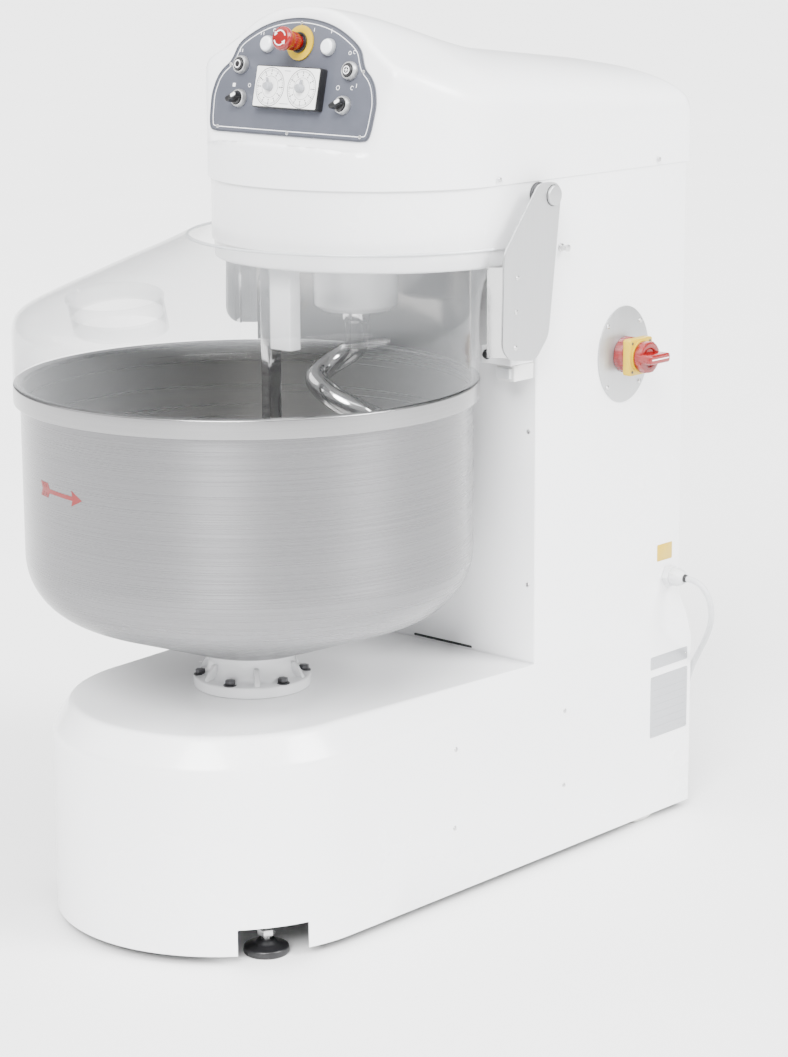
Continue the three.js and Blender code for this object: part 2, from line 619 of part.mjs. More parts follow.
// one outer or inner line of the lid from the bowl's rim to the ring round the head; u runs from
// the left end (-1) over the front (0) to the right end (1)
function lidLine(u, wall) {
  const endAngle = Math.asin((LID_END_Y - BOWL_Y) / BOWL_RIM_R);
  const wallAngle = -Math.PI / 2 + u * (Math.PI / 2 + endAngle);
  const ringAngle = -Math.PI / 2 + u * (Math.PI / 2 - 0.122);
  const wallPoint = (radius, z) =>
    new THREE.Vector3(radius * Math.cos(wallAngle), BOWL_Y + radius * Math.sin(wallAngle), z);
  const top = wallPoint(BOWL_RIM_R - wall, LID_SHOULDER_Z);
  const ringPoint = new THREE.Vector3(
    (312 - wall) * Math.cos(ringAngle), 60 + (311 - wall) * Math.sin(ringAngle), LID_RING_Z);
  const wallR = BOWL_RIM_R - wall;
  const line = [wallPoint(wallR, LID_BOTTOM_Z), wallPoint(wallR, LID_SHOULDER_Z - 22)];
  for (const [along, rise] of [[0.02, 0.02], [0.06, 0.11], [0.3, 0.37], [0.6, 0.67], [1, 1]]) {
    const point = top.clone().lerp(ringPoint, along);
    point.z = LID_SHOULDER_Z + (LID_RING_Z - LID_SHOULDER_Z) * rise - (along < 1 ? wall : 0);
    line.push(point);
  }
  return line;
}

function makeLid() {
  const rings = [];
  const steps = 34;
  for (let i = 0; i <= steps; i += 1) {
    const u = 1 - (2 * i) / steps;
    rings.push([...lidLine(u, 0), ...lidLine(u, LID_WALL).reverse()]);
  }
  const shell = loft(rings);
  const place = (geometry) => geometry.rotateX(HOPPER_TILT).translate(0, HOPPER_Y, HOPPER_Z);
  const oval = (grow, lowZ, highZ) => {
    const geometry = post(0, 0, lowZ, highZ, 1, 36);
    return place(geometry.scale(HOPPER_R[0] + grow, HOPPER_R[1] + grow, 1));
  };
  const collar = join(shell, oval(0, -10, 34));
  put('lid_cover', cut(collar, oval(-LID_WALL, -40, 60)), CLEAR);
}

function lidArmOutline() {
  const corners = [[126, 1212], [36, 1103], [32, 946], [51, 927], [116, 919], [150, 957], [181, 1197]];
  const shape = new THREE.Shape();
  shape.moveTo(168, 1211);
  for (const [y, z] of corners) {
    shape.lineTo(y, z);
  }
  return shape;
}

// flange at an arm's front edge, bent in towards the lid
function lidArmFlange() {
  const inner = LID_ARM_X;
  const shape = new THREE.Shape();
  shape.moveTo(inner + 1, 50);
  shape.lineTo(inner + 1, 86);
  shape.lineTo(inner - 3, 86);
  shape.lineTo(inner - 3, 65);
  shape.lineTo(286, 34);
  shape.lineTo(288.5, 31);
  return slab(shape, 930, 1080);
}

function makeLidArms() {
  const inner = LID_ARM_X;
  const outer = LID_ARM_X + LID_ARM_T;
  const plate = sidePlate(lidArmOutline(), inner, outer);
  const head = pinX(outer - 1, outer + 6, LID_PIVOT_Y, LID_PIVOT_Z, 17);
  const arm = join(plate, head, lidArmFlange());
  const bush = cut(
    pinX(HALF_WIDTH + GAP, inner - GAP, LID_PIVOT_Y, LID_PIVOT_Z, 17),
    pinX(HALF_WIDTH - 5, inner + 5, LID_PIVOT_Y, LID_PIVOT_Z, 7, 16));
  put('lid_arm_left', mirrored(arm), SATIN);
  put('lid_bush_left', mirrored(bush), STEEL);
  put('lid_arm_right', arm, SATIN);
  put('lid_bush_right', bush, STEEL);
  put('lid_switch_bracket', box([215, 100, 878], [284, COLUMN_FRONT_Y - GAP, 935]), WHITE);
}

// copy of a piece on the other side of the machine
function mirrored(geometry) {
  const copy = geometry.clone().scale(-1, 1, 1);
  const index = copy.index.array;
  for (let i = 0; i < index.length; i += 3) {
    [index[i + 1], index[i + 2]] = [index[i + 2], index[i + 1]];
  }
  return copy;
}

// ---- main switch, cable gland and cable ----
function makeSwitch() {
  const face = HALF_WIDTH + GAP;
  const roundPlate = pinX(face, face + SHEET_T, 0, 0, 1, 32);
  const plate = roundPlate.scale(1, 72, 85).translate(0, SWITCH_Y, SWITCH_Z);
  put('switch_plate', plate, SATIN);
  put('switch_housing', pinX(face + SHEET_T + GAP, 312, SWITCH_Y, SWITCH_Z, 32), DARK_RED);
  put('switch_escutcheon',
    box([312.3, SWITCH_Y - 32, SWITCH_Z - 32], [331, SWITCH_Y + 32, SWITCH_Z + 32]), YELLOW);
  const grip = box([340, SWITCH_Y - 27, SWITCH_Z - 8], [371, SWITCH_Y + 27, SWITCH_Z + 8]);
  put('switch_handle', join(pinX(331.3, 352, SWITCH_Y, SWITCH_Z, 25), grip), RED);
}

function makeCord() {
  const face = HALF_WIDTH + GAP;
  const nut = pinX(face, 304, GLAND_Y, GLAND_Z, 18, 6);
  const dome = pinX(300, 330.7, GLAND_Y, GLAND_Z, 14, 20);
  put('cable_gland', join(nut, dome), GREY);
  const path = new THREE.CatmullRomCurve3(CORD_ROUTE.map((point) => new THREE.Vector3(...point)));
  const section = new THREE.Shape();
  section.absarc(0, 0, CORD_D / 2, 0, 2 * Math.PI, false);
  const options = { steps: 36, curveSegments: 4, bevelEnabled: false, extrudePath: path };
  put('power_cord', new THREE.ExtrudeGeometry(section, options), GREY);
  const low = 0.5;
  const half = 1.05 * CORD_D;
  const profile = [[COIL_R - half, low], [COIL_R + half, low], [COIL_R + half, COIL_TOP_Z],
    [COIL_R - half, COIL_TOP_Z], [COIL_R - half, low]];
  put('cord_coil', turned(profile, COIL_Y, COIL_X, 32), GREY);
  const cone = new THREE.CylinderGeometry(14, 7.6, 58, 16);
  const boot = cone.rotateZ(Math.PI / 2).translate(-7, PLUG_Y, PLUG_Z);
  put('power_plug', join(pinX(-166, -35, PLUG_Y, PLUG_Z, PLUG_R, 20), boot), RED);
}

// ---- inner frames, wheels and feet ----
function makeFrames() {
  const rails = cut(
    box([-225, -380, 70], [225, 590, 120]),
    box([-190, -340, 60], [190, 260, 130]),
    box([-190, 310, 60], [190, 550, 130]));
  const cast = join(rails, pinX(-281, 281, WHEEL_Y, WHEEL_R, AXLE_R, 16));
  put('base_frame', cast, DARK);
  put('column_frame', cut(
    box([-250, 200, 121], [250, 240, 1205]),
    box([-205, 190, 170], [205, 250, 1160])), DARK);
}

function makeGroundContacts() {
  for (const [side, sign] of [['left', -1], ['right', 1]]) {
    const low = sign > 0 ? 240 : -240 - WHEEL_WIDTH;
    const tyre = pinX(low, low + WHEEL_WIDTH, WHEEL_Y, WHEEL_R, WHEEL_R, 32);
    const bore = pinX(low - 1, low + WHEEL_WIDTH + 1, WHEEL_Y, WHEEL_R, AXLE_R + 0.8, 16);
    put(`rear_wheel_${side}`, cut(tyre, bore), NYLON);
    const x = sign * FOOT_CENTRE_R * Math.cos(FOOT_ANGLE);
    const y = BASE_NOSE_Y - FOOT_CENTRE_R * Math.sin(FOOT_ANGLE);
    const foot = join(post(x, y, 0, 14, FOOT_R, 24), post(x, y, 10, 110, 9, 16));
    put(`front_foot_${side}`, foot, BLACK);
  }
}

makeBaseShell();
makeColumnShell();
makeHeadShell();
makeHood();
makePanel();
makeBowl();
makePedestal();
makeDrives();
makeSpiral();
makeBreaker();
makeRearGuard();
makeLid();
makeLidArms();
makeSwitch();
makeCord();
makeFrames();
makeGroundContacts();

export default model;
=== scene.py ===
"""Looks of the spiral dough mixer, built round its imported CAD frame. Sizes here are in millimetres."""
import bpy
import bmesh
import math
from mathutils import Matrix, Vector


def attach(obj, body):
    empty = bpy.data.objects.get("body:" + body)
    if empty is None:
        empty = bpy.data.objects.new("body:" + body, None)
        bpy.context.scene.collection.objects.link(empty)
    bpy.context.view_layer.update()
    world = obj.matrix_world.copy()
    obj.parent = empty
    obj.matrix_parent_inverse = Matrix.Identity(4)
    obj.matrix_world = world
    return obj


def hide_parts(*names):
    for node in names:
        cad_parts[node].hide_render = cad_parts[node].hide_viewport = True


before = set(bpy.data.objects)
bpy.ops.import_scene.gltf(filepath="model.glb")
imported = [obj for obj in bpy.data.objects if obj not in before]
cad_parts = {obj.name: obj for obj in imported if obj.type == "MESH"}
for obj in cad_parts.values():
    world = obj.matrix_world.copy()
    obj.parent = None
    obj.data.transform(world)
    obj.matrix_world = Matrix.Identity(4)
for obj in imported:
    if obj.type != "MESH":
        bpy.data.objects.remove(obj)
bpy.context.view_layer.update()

MM = 0.001
PI = math.pi

# ---- sizes shared with the CAD source ----
GAP = 0.3  # clearance between touching pieces
HALF_WIDTH = 288
HEIGHT = 1499
REAR_Y = 625
SKIRT_Z = 15
BASE_TOP_Z = 375
CHAMFER_Z = 327
BASE_NOSE_Y = -308
COLUMN_FRONT_Y = 161
COLUMN_REAR_Y = 581
SWEEP_LOW_Z = 325  # between these heights the rear edge sweeps from the base in to the column
SWEEP_HIGH_Z = 450
SHEET_T = 2
SKIN = 4
SEAM_Z = 1212
HEAD_BOTTOM_Z = 1076
HEAD_BAND_Z = 1106
HEAD_NOSE_Y = 87
HOOD_HALF = 293
HOOD_EDGE_Z = 1285
HOOD_CREST_Z = 1440
HOOD_ROUND_Y = 508  # from here the roof rounds down to the rear
HOOD_ROUND_Z = 1300
HOOD_ROUND_R = 90
BOWL_Y = -240
BOWL_RIM_R = 385
BOWL_R = 374
BOWL_TOP_Z = 902
BOWL_BAND_Z = 871
BOWL_BOTTOM_Z = 442
BOWL_KNUCKLE_Z = 616
BOWL_KNUCKLE_R = 108
SPIRAL_Y = 26
SPIRAL_R = 74
SPIRAL_TURNS = 1.375
SPIRAL_TOP_Z = 925
SPIRAL_DROP = 318
HUB_BOTTOM_Z = 984
BREAKER_FRONT_Y = -162
GUARD_R = 370
LID_PIVOT = (160.5, 1190)
LID_END_Y = 24
LID_BOTTOM_Z = 905
LID_SHOULDER_Z = 1010
LID_RING_Z = 1115.6
LID_SHEET = 3.4
LID_ARM_OUTER = 323  # distance of an arm's outer face from the middle of the machine
HOPPER_PLACE = (0, -524, 1036)
HOPPER_TILT = math.radians(14)
HOPPER_R = (92, 60)
PANEL_LEAN = math.radians(12.5)
PANEL_FOOT = (0, -138.4, 1295.8)
BUTTON_PLACE = (124, 107)
SELECTOR_PLACE = (118.5, 51)
LAMP_PLACE = (69, 143.5)
ESTOP_PLACE = (4, 148)
TIMER_PLACE = (36, 71.5)
TIMER_FACE = 17.6  # height of the dials' face over the panel
SWITCH = (402, 889)
GLAND = (546, 462)
FOOT_ANGLE = math.radians(29.5)
FOOT_CENTRE_R = 238
WHEEL = (498, 78)
WHEEL_WIDTH = 38

# ---- camera, in metres and degrees ----
CAMERA_PLACE = (3.26075, -3.49862, 1.71592)
CAMERA_AZIMUTH = 42.02
CAMERA_PITCH = 13.12
CAMERA_ROLL = -0.28
CAMERA_LENS = 96.16


def add_object(name, data):
    made = bpy.data.objects.new(name, data)
    bpy.context.collection.objects.link(made)
    return made


def make_camera():
    data = bpy.data.cameras.new("camera")
    data.lens = CAMERA_LENS
    data.sensor_width = 36
    data.clip_end = 500
    camera = add_object("camera", data)
    azimuth, pitch, roll = (math.radians(angle) for angle in (CAMERA_AZIMUTH, CAMERA_PITCH, CAMERA_ROLL))
    flat = Vector((-math.sin(azimuth), math.cos(azimuth), 0)) * math.cos(pitch)
    ahead = flat - Vector((0, 0, math.sin(pitch)))
    level = Vector((math.cos(azimuth), math.sin(azimuth), 0))
    upright = level.cross(ahead)
    right = level * math.cos(roll) + upright * math.sin(roll)
    up = upright * math.cos(roll) - level * math.sin(roll)
    turn = Matrix((right, up, -ahead)).transposed().to_4x4()
    camera.matrix_world = Matrix.Translation(CAMERA_PLACE) @ turn
    bpy.context.scene.camera = camera


make_camera()


# ---- materials ----
def set_inputs(node, **values):
    """Sets a node's inputs; the spaces of a socket's name are written as underscores."""
    for socket, value in values.items():
        node.inputs[socket.replace("_", " ")].default_value = value
    return node


def new_node(nodes, kind, **values):
    return set_inputs(nodes.new("ShaderNode" + kind), **values)


def colour_ramp(nodes, *stops):
    """A ramp node between two stops, each a position and a colour."""
    ramp = new_node(nodes, "ValToRGB")
    for element, (position, colour) in zip(ramp.color_ramp.elements, stops):
        element.position = position
        element.color = colour
    return ramp


def surface(name, colour, rough, metal=0.0, vary=0.04, rough_vary=0.06, scale=6.0, stretch=(1, 1, 1),
            bump=0.0, bump_scale=300.0, **sockets):
    """A Principled material whose colour, roughness and fine relief come from noise."""
    material = bpy.data.materials.new(name)
    material.use_nodes = True
    nodes, links = material.node_tree.nodes, material.node_tree.links
    shader = nodes["Principled BSDF"]
    place = new_node(nodes, "TexCoord")
    mapping = new_node(nodes, "Mapping", Scale=stretch)
    links.new(place.outputs["Object"], mapping.inputs["Vector"])
    noise = new_node(nodes, "TexNoise", Scale=scale, Detail=5)
    links.new(mapping.outputs["Vector"], noise.inputs["Vector"])
    darker = [max(0, c * (1 - vary)) for c in colour] + [1]
    lighter = [min(1, c * (1 + vary)) for c in colour] + [1]
    ramp = colour_ramp(nodes, (0.3, darker), (0.7, lighter))
    links.new(noise.outputs["Fac"], ramp.inputs["Fac"])
    links.new(ramp.outputs["Color"], shader.inputs["Base Color"])
    smoothest, roughest = max(0.02, rough - rough_vary), min(1.0, rough + rough_vary)
    spread = new_node(nodes, "MapRange", To_Min=smoothest, To_Max=roughest)
    links.new(noise.outputs["Fac"], spread.inputs["Value"])
    links.new(spread.outputs["Result"], shader.inputs["Roughness"])
    if bump > 0:
        grain = new_node(nodes, "TexNoise", Scale=bump_scale, Detail=3)
        links.new(mapping.outputs["Vector"], grain.inputs["Vector"])
        relief = new_node(nodes, "Bump", Strength=bump, Distance=0.001)
        links.new(grain.outputs["Fac"], relief.inputs["Height"])
        links.new(relief.outputs["Normal"], shader.inputs["Normal"])
    set_inputs(shader, Metallic=metal, **sockets)
    return material


def radial_brush(material, amount):
    """Gives a turned steel surface the stretched highlights of brushing round its axis."""
    nodes, links = material.node_tree.nodes, material.node_tree.links
    tangent = new_node(nodes, "Tangent")
    tangent.direction_type = "RADIAL"
    tangent.axis = "Z"
    shader = nodes["Principled BSDF"]
    links.new(tangent.outputs["Tangent"], shader.inputs["Tangent"])
    set_inputs(shader, Anisotropic=amount, Anisotropic_Rotation=0.25)
    return material


def clear_plastic():
    """Clear lid plastic: thin and see-through, denser and glossier where it is seen edge on."""
    material = surface("lid_plastic", (0.3, 0.31, 0.32), 0.06, vary=0.02, rough_vary=0.03, scale=9)
    nodes, links = material.node_tree.nodes, material.node_tree.links
    shader = nodes["Principled BSDF"]
    facing = new_node(nodes, "LayerWeight", Blend=0.3)
    spread = new_node(nodes, "MapRange", To_Min=0.01, To_Max=0.45)
    links.new(facing.outputs["Facing"], spread.inputs["Value"])
    links.new(spread.outputs["Result"], shader.inputs["Alpha"])
    set_inputs(shader, Specular_IOR_Level=0.9)
    return material


PAINT = surface("white_paint", (0.86, 0.865, 0.875), 0.26, vary=0.012, rough_vary=0.05, scale=5,
                bump=0.05, bump_scale=260, Coat_Weight=0.35, Coat_Roughness=0.1)
GLOSS = surface("white_gloss_paint", (0.86, 0.865, 0.875), 0.09, vary=0.012, rough_vary=0.02, scale=4,
                bump=0.02, bump_scale=90, Coat_Weight=0.8, Coat_Roughness=0.03)
HOOD_PAINT = surface("hood_paint", (0.87, 0.875, 0.885), 0.3, vary=0.012, rough_vary=0.05, scale=4,
                     bump=0.05, bump_scale=220, Coat_Weight=0.3, Coat_Roughness=0.12)
BRUSHED = radial_brush(surface("brushed_steel", (0.2, 0.2, 0.205), 0.28, 1.0, vary=0.1, rough_vary=0.07,
                               scale=2.0, stretch=(1, 1, 260), bump=0.12, bump_scale=4), 0.85)
RIM_STEEL = radial_brush(surface("rim_steel", (0.27, 0.27, 0.272), 0.24, 1.0, vary=0.06, rough_vary=0.05,
                                 scale=2.0, stretch=(1, 1, 300), bump=0.05, bump_scale=4), 0.4)
INNER = radial_brush(surface("inner_steel", (0.3, 0.296, 0.29), 0.28, 1.0, vary=0.07, rough_vary=0.03,
                             scale=0.6, stretch=(1, 1, 420)), 0.5)
GUARD = surface("guard_steel", (0.2, 0.19, 0.18), 0.16, 1.0, vary=0.08, rough_vary=0.04,
                scale=3, stretch=(1, 1, 30))
POLISHED = surface("polished_steel", (0.45, 0.45, 0.45), 0.1, 1.0, vary=0.05, rough_vary=0.03, scale=18)
SATIN = surface("satin_steel", (0.46, 0.465, 0.47), 0.42, 0.85, vary=0.035, rough_vary=0.06,
                scale=5, stretch=(1, 160, 2), bump=0.04, bump_scale=6)
ZINC = surface("zinc", (0.6, 0.6, 0.6), 0.28, 1.0, vary=0.1, rough_vary=0.08, scale=90)
DARK_STEEL = surface("dark_steel", (0.1, 0.1, 0.105), 0.38, 0.9, vary=0.12, scale=60)
CLEAR = clear_plastic()
CLEAR_EDGE = surface("lid_edge", (0.8, 0.83, 0.85), 0.08, vary=0.03, scale=30, Alpha=0.55)
PANEL_GREY = surface("panel_grey", (0.07, 0.075, 0.095), 0.42, vary=0.05, rough_vary=0.06, scale=40,
                     bump=0.05, bump_scale=900)
PANEL_EDGE = surface("panel_edge", (0.045, 0.048, 0.06), 0.5, vary=0.06, scale=40)
PRINT_WHITE = surface("print_white", (0.86, 0.86, 0.87), 0.45, vary=0.02, scale=60)
LAMP = surface("lamp_white", (0.82, 0.84, 0.87), 0.2, vary=0.03, scale=70, Coat_Weight=0.5)
BLACK = surface("black_plastic", (0.008, 0.008, 0.009), 0.36, vary=0.2, scale=80, bump=0.04, bump_scale=900)
GREY = surface("grey_plastic", (0.3, 0.31, 0.33), 0.4, vary=0.08, scale=60, bump=0.04, bump_scale=900)
PALE_GREY = surface("pale_grey_plastic", (0.62, 0.63, 0.64), 0.38, vary=0.05, scale=60)
RED = surface("red_plastic", (0.19, 0.0006, 0.001), 0.28, vary=0.08, rough_vary=0.05, scale=50,
              Coat_Weight=0.3)
DARK_RED = surface("dark_red_plastic", (0.19, 0.012, 0.014), 0.22, vary=0.25, scale=70, Coat_Weight=0.4)
YELLOW = surface("yellow_plastic", (0.5, 0.33, 0.001), 0.32, vary=0.05, scale=50)
WHITE_PLASTIC = surface("white_plastic", (0.83, 0.83, 0.82), 0.35, vary=0.02, scale=40)
NYLON = surface("nylon", (0.6, 0.6, 0.58), 0.5, vary=0.06, scale=30, bump=0.06, bump_scale=500)
RUBBER = surface("belt_rubber", (0.025, 0.025, 0.026), 0.7, vary=0.25, scale=60, bump=0.15, bump_scale=400)
CABLE = surface("cable_grey", (0.55, 0.56, 0.57), 0.45, vary=0.04, scale=90, bump=0.05, bump_scale=700)
MOTOR = surface("motor_grey", (0.24, 0.26, 0.28), 0.5, vary=0.08, scale=25, bump=0.1, bump_scale=200)
CAST = surface("frame_steel", (0.1, 0.1, 0.105), 0.6, 0.3, vary=0.15, scale=20, bump=0.1, bump_scale=120)
LABEL = surface("label_silver", (0.42, 0.43, 0.45), 0.35, 0.6, vary=0.06, scale=30, stretch=(1, 1, 40))
STICKER_RED = surface("sticker_red", (0.16, 0.0006, 0.0016), 0.4, vary=0.04, scale=40)
# Near-black flat finish laid on the cover slot, the louvre openings and the pivot grooves: painted shade.
GAP_SHADE = surface("painted_gap_shade", (0.03, 0.03, 0.03), 0.8, vary=0.2, scale=40)


# ---- shapes: each is (list of points, list of faces) ----
def loft(rings, cap=True):
    count = len(rings[0])
    points = [tuple(point) for ring in rings for point in ring]
    faces = []
    for i in range(len(rings) - 1):
        for j in range(count):
            a, b = i * count + j, i * count + (j + 1) % count
            faces.append((a, b, b + count, a + count))
    if cap:
        faces.append(tuple(reversed(range(count))))
        faces.append(tuple(range((len(rings) - 1) * count, len(rings) * count)))
    return points, faces


def lathe(profile, sides=64):
    """Profile of (radius, z) from bottom to top, turned about z; ends on the axis close themselves."""
    rings = [[(x, y, z) for x, y in oval(radius, radius, sides)] for radius, z in profile]
    return loft(rings, cap=False)


def rounded_corner(start, corner, end, steps):
    """Points of a curve from start to end that is pulled towards the corner."""
    shares = [k / steps for k in range(steps + 1)]
    return [tuple(start * (1 - t) ** 2 + corner * 2 * t * (1 - t) + end * t ** 2) for t in shares]


def rounded_profile(corners, radius, steps=4):
    """Rounds the inner corners of an open (r, z) profile."""
    points = [corners[0]]
    for before, corner, after in zip(corners, corners[1:], corners[2:]):
        to_before = Vector(before) - Vector(corner)
        to_after = Vector(after) - Vector(corner)
        reach = min(radius, to_before.length * 0.45, to_after.length * 0.45)
        start = Vector(corner) + to_before.normalized() * reach
        end = Vector(corner) + to_after.normalized() * reach
        points += rounded_corner(start, Vector(corner), end, steps)
    points.append(corners[-1])
    return points


def offset_outline(outline, distance):
    """Moves a counter-clockwise outline inwards by a distance."""
    result = []
    count = len(outline)
    for i in range(count):
        before, here, after = Vector(outline[i - 1]), Vector(outline[i]), Vector(outline[(i + 1) % count])
        first, second = (here - before).normalized(), (after - here).normalized()
        normal_a, normal_b = Vector((-first.y, first.x)), Vector((-second.y, second.x))
        middle = (normal_a + normal_b).normalized()
        reach = distance / max(0.4, middle.dot(normal_a))
        result.append(tuple(here + middle * reach))
    return result


def plate(outline, low, high, edge=0.8, steps=2):
    """Outline in (x, y) raised from low to high, with rounded edges."""
    rings = []
    for k in range(steps + 1):
        angle = (PI / 2) * k / steps
        ring = offset_outline(outline, edge * (1 - math.sin(angle)))
        rings.append([(x, y, low + edge * (1 - math.cos(angle))) for x, y in ring])
    for k in range(steps + 1):
        angle = (PI / 2) * k / steps
        ring = offset_outline(outline, edge * (1 - math.cos(angle)))
        rings.append([(x, y, high - edge * (1 - math.sin(angle))) for x, y in ring])
    return loft(rings)


def quarter_turn(cx, cy, radius, start, steps):
    """Points of a quarter circle that starts at an angle in degrees."""
    turns = [math.radians(start + 90 * k / steps) for k in range(steps + 1)]
    return [(cx + radius * math.cos(turn), cy + radius * math.sin(turn)) for turn in turns]


def rounded_rectangle(x0, y0, x1, y1, radius, steps=5):
    left, right, low, high = x0 + radius, x1 - radius, y0 + radius, y1 - radius
    outline = []
    for cx, cy, start in ((right, low, -90), (right, high, 0), (left, high, 90), (left, low, 180)):
        outline += quarter_turn(cx, cy, radius, start, steps)
    return outline


def block(low, high, corner=2.0, edge=1.0):
    """Box between two corners with rounded edges."""
    return plate(rounded_rectangle(low[0], low[1], high[0], high[1], corner), low[2], high[2], edge)


def oval(radius_x, radius_y, sides=64):
    turns = [2 * PI * i / sides for i in range(sides)]
    return [(radius_x * math.cos(turn), radius_y * math.sin(turn)) for turn in turns]


def smooth_outline(corners, radius, steps=5):
    """Closed outline with every corner rounded by about the same radius."""
    outline = []
    count = len(corners)
    for i in range(count):
        before, corner, after = Vector(corners[i - 1]), Vector(corners[i]), Vector(corners[(i + 1) % count])
        reach_a = min(radius, (before - corner).length * 0.48)
        reach_b = min(radius, (after - corner).length * 0.48)
        start = corner + (before - corner).normalized() * reach_a
        end = corner + (after - corner).normalized() * reach_b
        outline += rounded_corner(start, corner, end, steps)
    return outline


def tube(path, radius_at, sides=16):
    """Round tube along a list of points; radius_at gives its radius at a share of the way."""
    points = [Vector(p) for p in path]
    rings = []
    side = None
    for i, here in enumerate(points):
        ahead = (points[min(i + 1, len(points) - 1)] - points[max(i - 1, 0)]).normalized()
        if side is None:
            side = ahead.orthogonal().normalized()
        side = (side - ahead * side.dot(ahead)).normalized()
        across = ahead.cross(side)
        radius = radius_at(i / (len(points) - 1))
        rings.append([here + (side * x + across * y) * radius for x, y in oval(1, 1, sides)])
    return loft(rings)


def curve_points(points, per_span=8):
    """Catmull-Rom points through a list of points."""
    knots = [Vector(p) for p in points]
    knots = [knots[0] * 2 - knots[1]] + knots + [knots[-1] * 2 - knots[-2]]
    result = []
    for i in range(1, len(knots) - 2):
        p0, p1, p2, p3 = knots[i - 1:i + 3]
        for k in range(per_span):
            t = k / per_span
            result.append(0.5 * (p1 * 2 + (p2 - p0) * t + (p0 * 2 - p1 * 5 + p2 * 4 - p3) * t ** 2
                                 + (p1 * 3 - p0 - p2 * 3 + p3) * t ** 3))
    result.append(knots[-2])
    return result


def smooth_step(share):
    """Eases a share of the way between 0 and 1, with a gentle start and end."""
    share = min(1, max(0, share))
    return share * share * (3 - 2 * share)


def loop_faces(rows, count):
    """Quads that join the rows of points to each other, and the last row to the first."""
    faces = []
    for k in range(rows):
        for j in range(count):
            a, b = k * count + j, k * count + (j + 1) % count
            c, d = ((k + 1) % rows) * count + (j + 1) % count, ((k + 1) % rows) * count + j
            faces.append((a, b, c, d))
    return faces


def moved(shape, matrix):
    points, faces = shape
    return [tuple(matrix @ Vector(p)) for p in points], faces


def spun(shape, turn):
    """A shape turned about its own z axis, in radians."""
    return moved(shape, Matrix.Rotation(turn, 4, "Z"))


def around(shape, count, first=0.0):
    """Equally spaced copies of a shape round its own z axis."""
    return [spun(shape, first + 2 * PI * k / count) for k in range(count)]


def at(x, y, z):
    return Matrix.Translation((x, y, z))


def axes(x_axis, y_axis, z_axis, origin):
    turn = Matrix((x_axis, y_axis, z_axis)).transposed().to_4x4()
    return Matrix.Translation(origin) @ turn


PANEL = axes((1, 0, 0), (0, math.sin(PANEL_LEAN), math.cos(PANEL_LEAN)),
             (0, -math.cos(PANEL_LEAN), math.sin(PANEL_LEAN)), PANEL_FOOT)
RIGHT_SIDE = axes((0, 1, 0), (0, 0, 1), (1, 0, 0), (HALF_WIDTH, 0, 0))  # local x is y, y is z, z is out
LEFT_SIDE = axes((0, -1, 0), (0, 0, 1), (-1, 0, 0), (-HALF_WIDTH, 0, 0))
COLUMN_FACE = axes((1, 0, 0), (0, 0, 1), (0, -1, 0), (0, COLUMN_FRONT_Y, 0))
REAR_FACE = axes((-1, 0, 0), (0, 0, 1), (0, 1, 0), (0, COLUMN_REAR_Y + GAP + SHEET_T, 0))
SIDEWAYS = axes((0, 1, 0), (0, 0, 1), (1, 0, 0), (0, 0, 0))  # like RIGHT_SIDE, from the middle


def piece(name, body, parts, replaces=(), crease=35):
    """One object of several shapes, each with its material; it rides on a CAD body."""
    points, faces, chosen, materials = [], [], [], []
    for shape, material in parts:
        if material not in materials:
            materials.append(material)
        start = len(points)
        points += [(x * MM, y * MM, z * MM) for x, y, z in shape[0]]
        faces += [tuple(start + i for i in face) for face in shape[1]]
        chosen += [materials.index(material)] * len(shape[1])
    mesh = bpy.data.meshes.new(name)
    mesh.from_pydata(points, [], faces)
    mesh.polygons.foreach_set("material_index", chosen)
    for material in materials:
        mesh.materials.append(material)
    tidy = bmesh.new()
    tidy.from_mesh(mesh)
    bmesh.ops.remove_doubles(tidy, verts=tidy.verts, dist=1e-6)
    bmesh.ops.dissolve_degenerate(tidy, edges=tidy.edges, dist=1e-7)
    tidy.to_mesh(mesh)
    tidy.free()
    mesh.shade_smooth()
    mesh.set_sharp_from_angle(angle=math.radians(crease))
    made = add_object(name, mesh)
    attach(made, body)
    if replaces:
        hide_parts(*replaces)
    return made


def screw_head(radius, height):
    """Domed round screw head standing on z = 0, with a shallow recess."""
    dome = [(0, -0.6), (radius, -0.6), (radius, height * 0.35), (radius * 0.8, height * 0.85),
            (radius * 0.5, height), (radius * 0.42, height * 0.55), (0, height * 0.5)]
    return lathe(dome, 20)


def hex_bolt(across, height, washer=0.0):
    """Hexagon head with a chamfered top, on a washer, standing on z = 0."""
    radius = across / math.sqrt(3)
    head = plate(oval(radius, radius, 6), washer, washer + height, across * 0.06, 2)
    if washer <= 0:
        return head
    edge = [(across * 0.78, 0), (across * 0.8, washer * 0.5), (across * 0.76, washer)]
    disc = lathe([(0, 0)] + edge + [(0, washer)], 28)
    count = len(disc[0])
    return disc[0] + head[0], disc[1] + [tuple(i + count for i in face) for face in head[1]]


# ---- cord: first, because it settles the room it takes ----
CORD_D = 11
CORD_ROUTE = [
    (331.6, 546, 462), (343, 546.2, 461.4), (355, 547, 457.5), (365.5, 548, 450), (373, 549.5, 440),
    (377.5, 552, 428), (378.5, 555.5, 415), (376, 561, 400), (370.5, 568, 385), (360, 578, 368),
    (346, 590.5, 350), (330, 603.5, 331), (312, 617.5, 311), (294, 630.5, 290), (277, 641.5, 266),
    (262, 650.5, 238), (249, 658, 204), (238, 663.5, 164), (229, 667.5, 116), (222, 669.5, 82),
    (217.5, 669.8, 60), (210.5, 667.5, 35.5), (198, 663, 18.5), (183.5, 658, 9.8), (170, 653.5, 7),
    (156, 648.6, 7),
]
COIL = (100, 712)
COIL_R = 65
PLUG_AXIS = (660, 28.5)


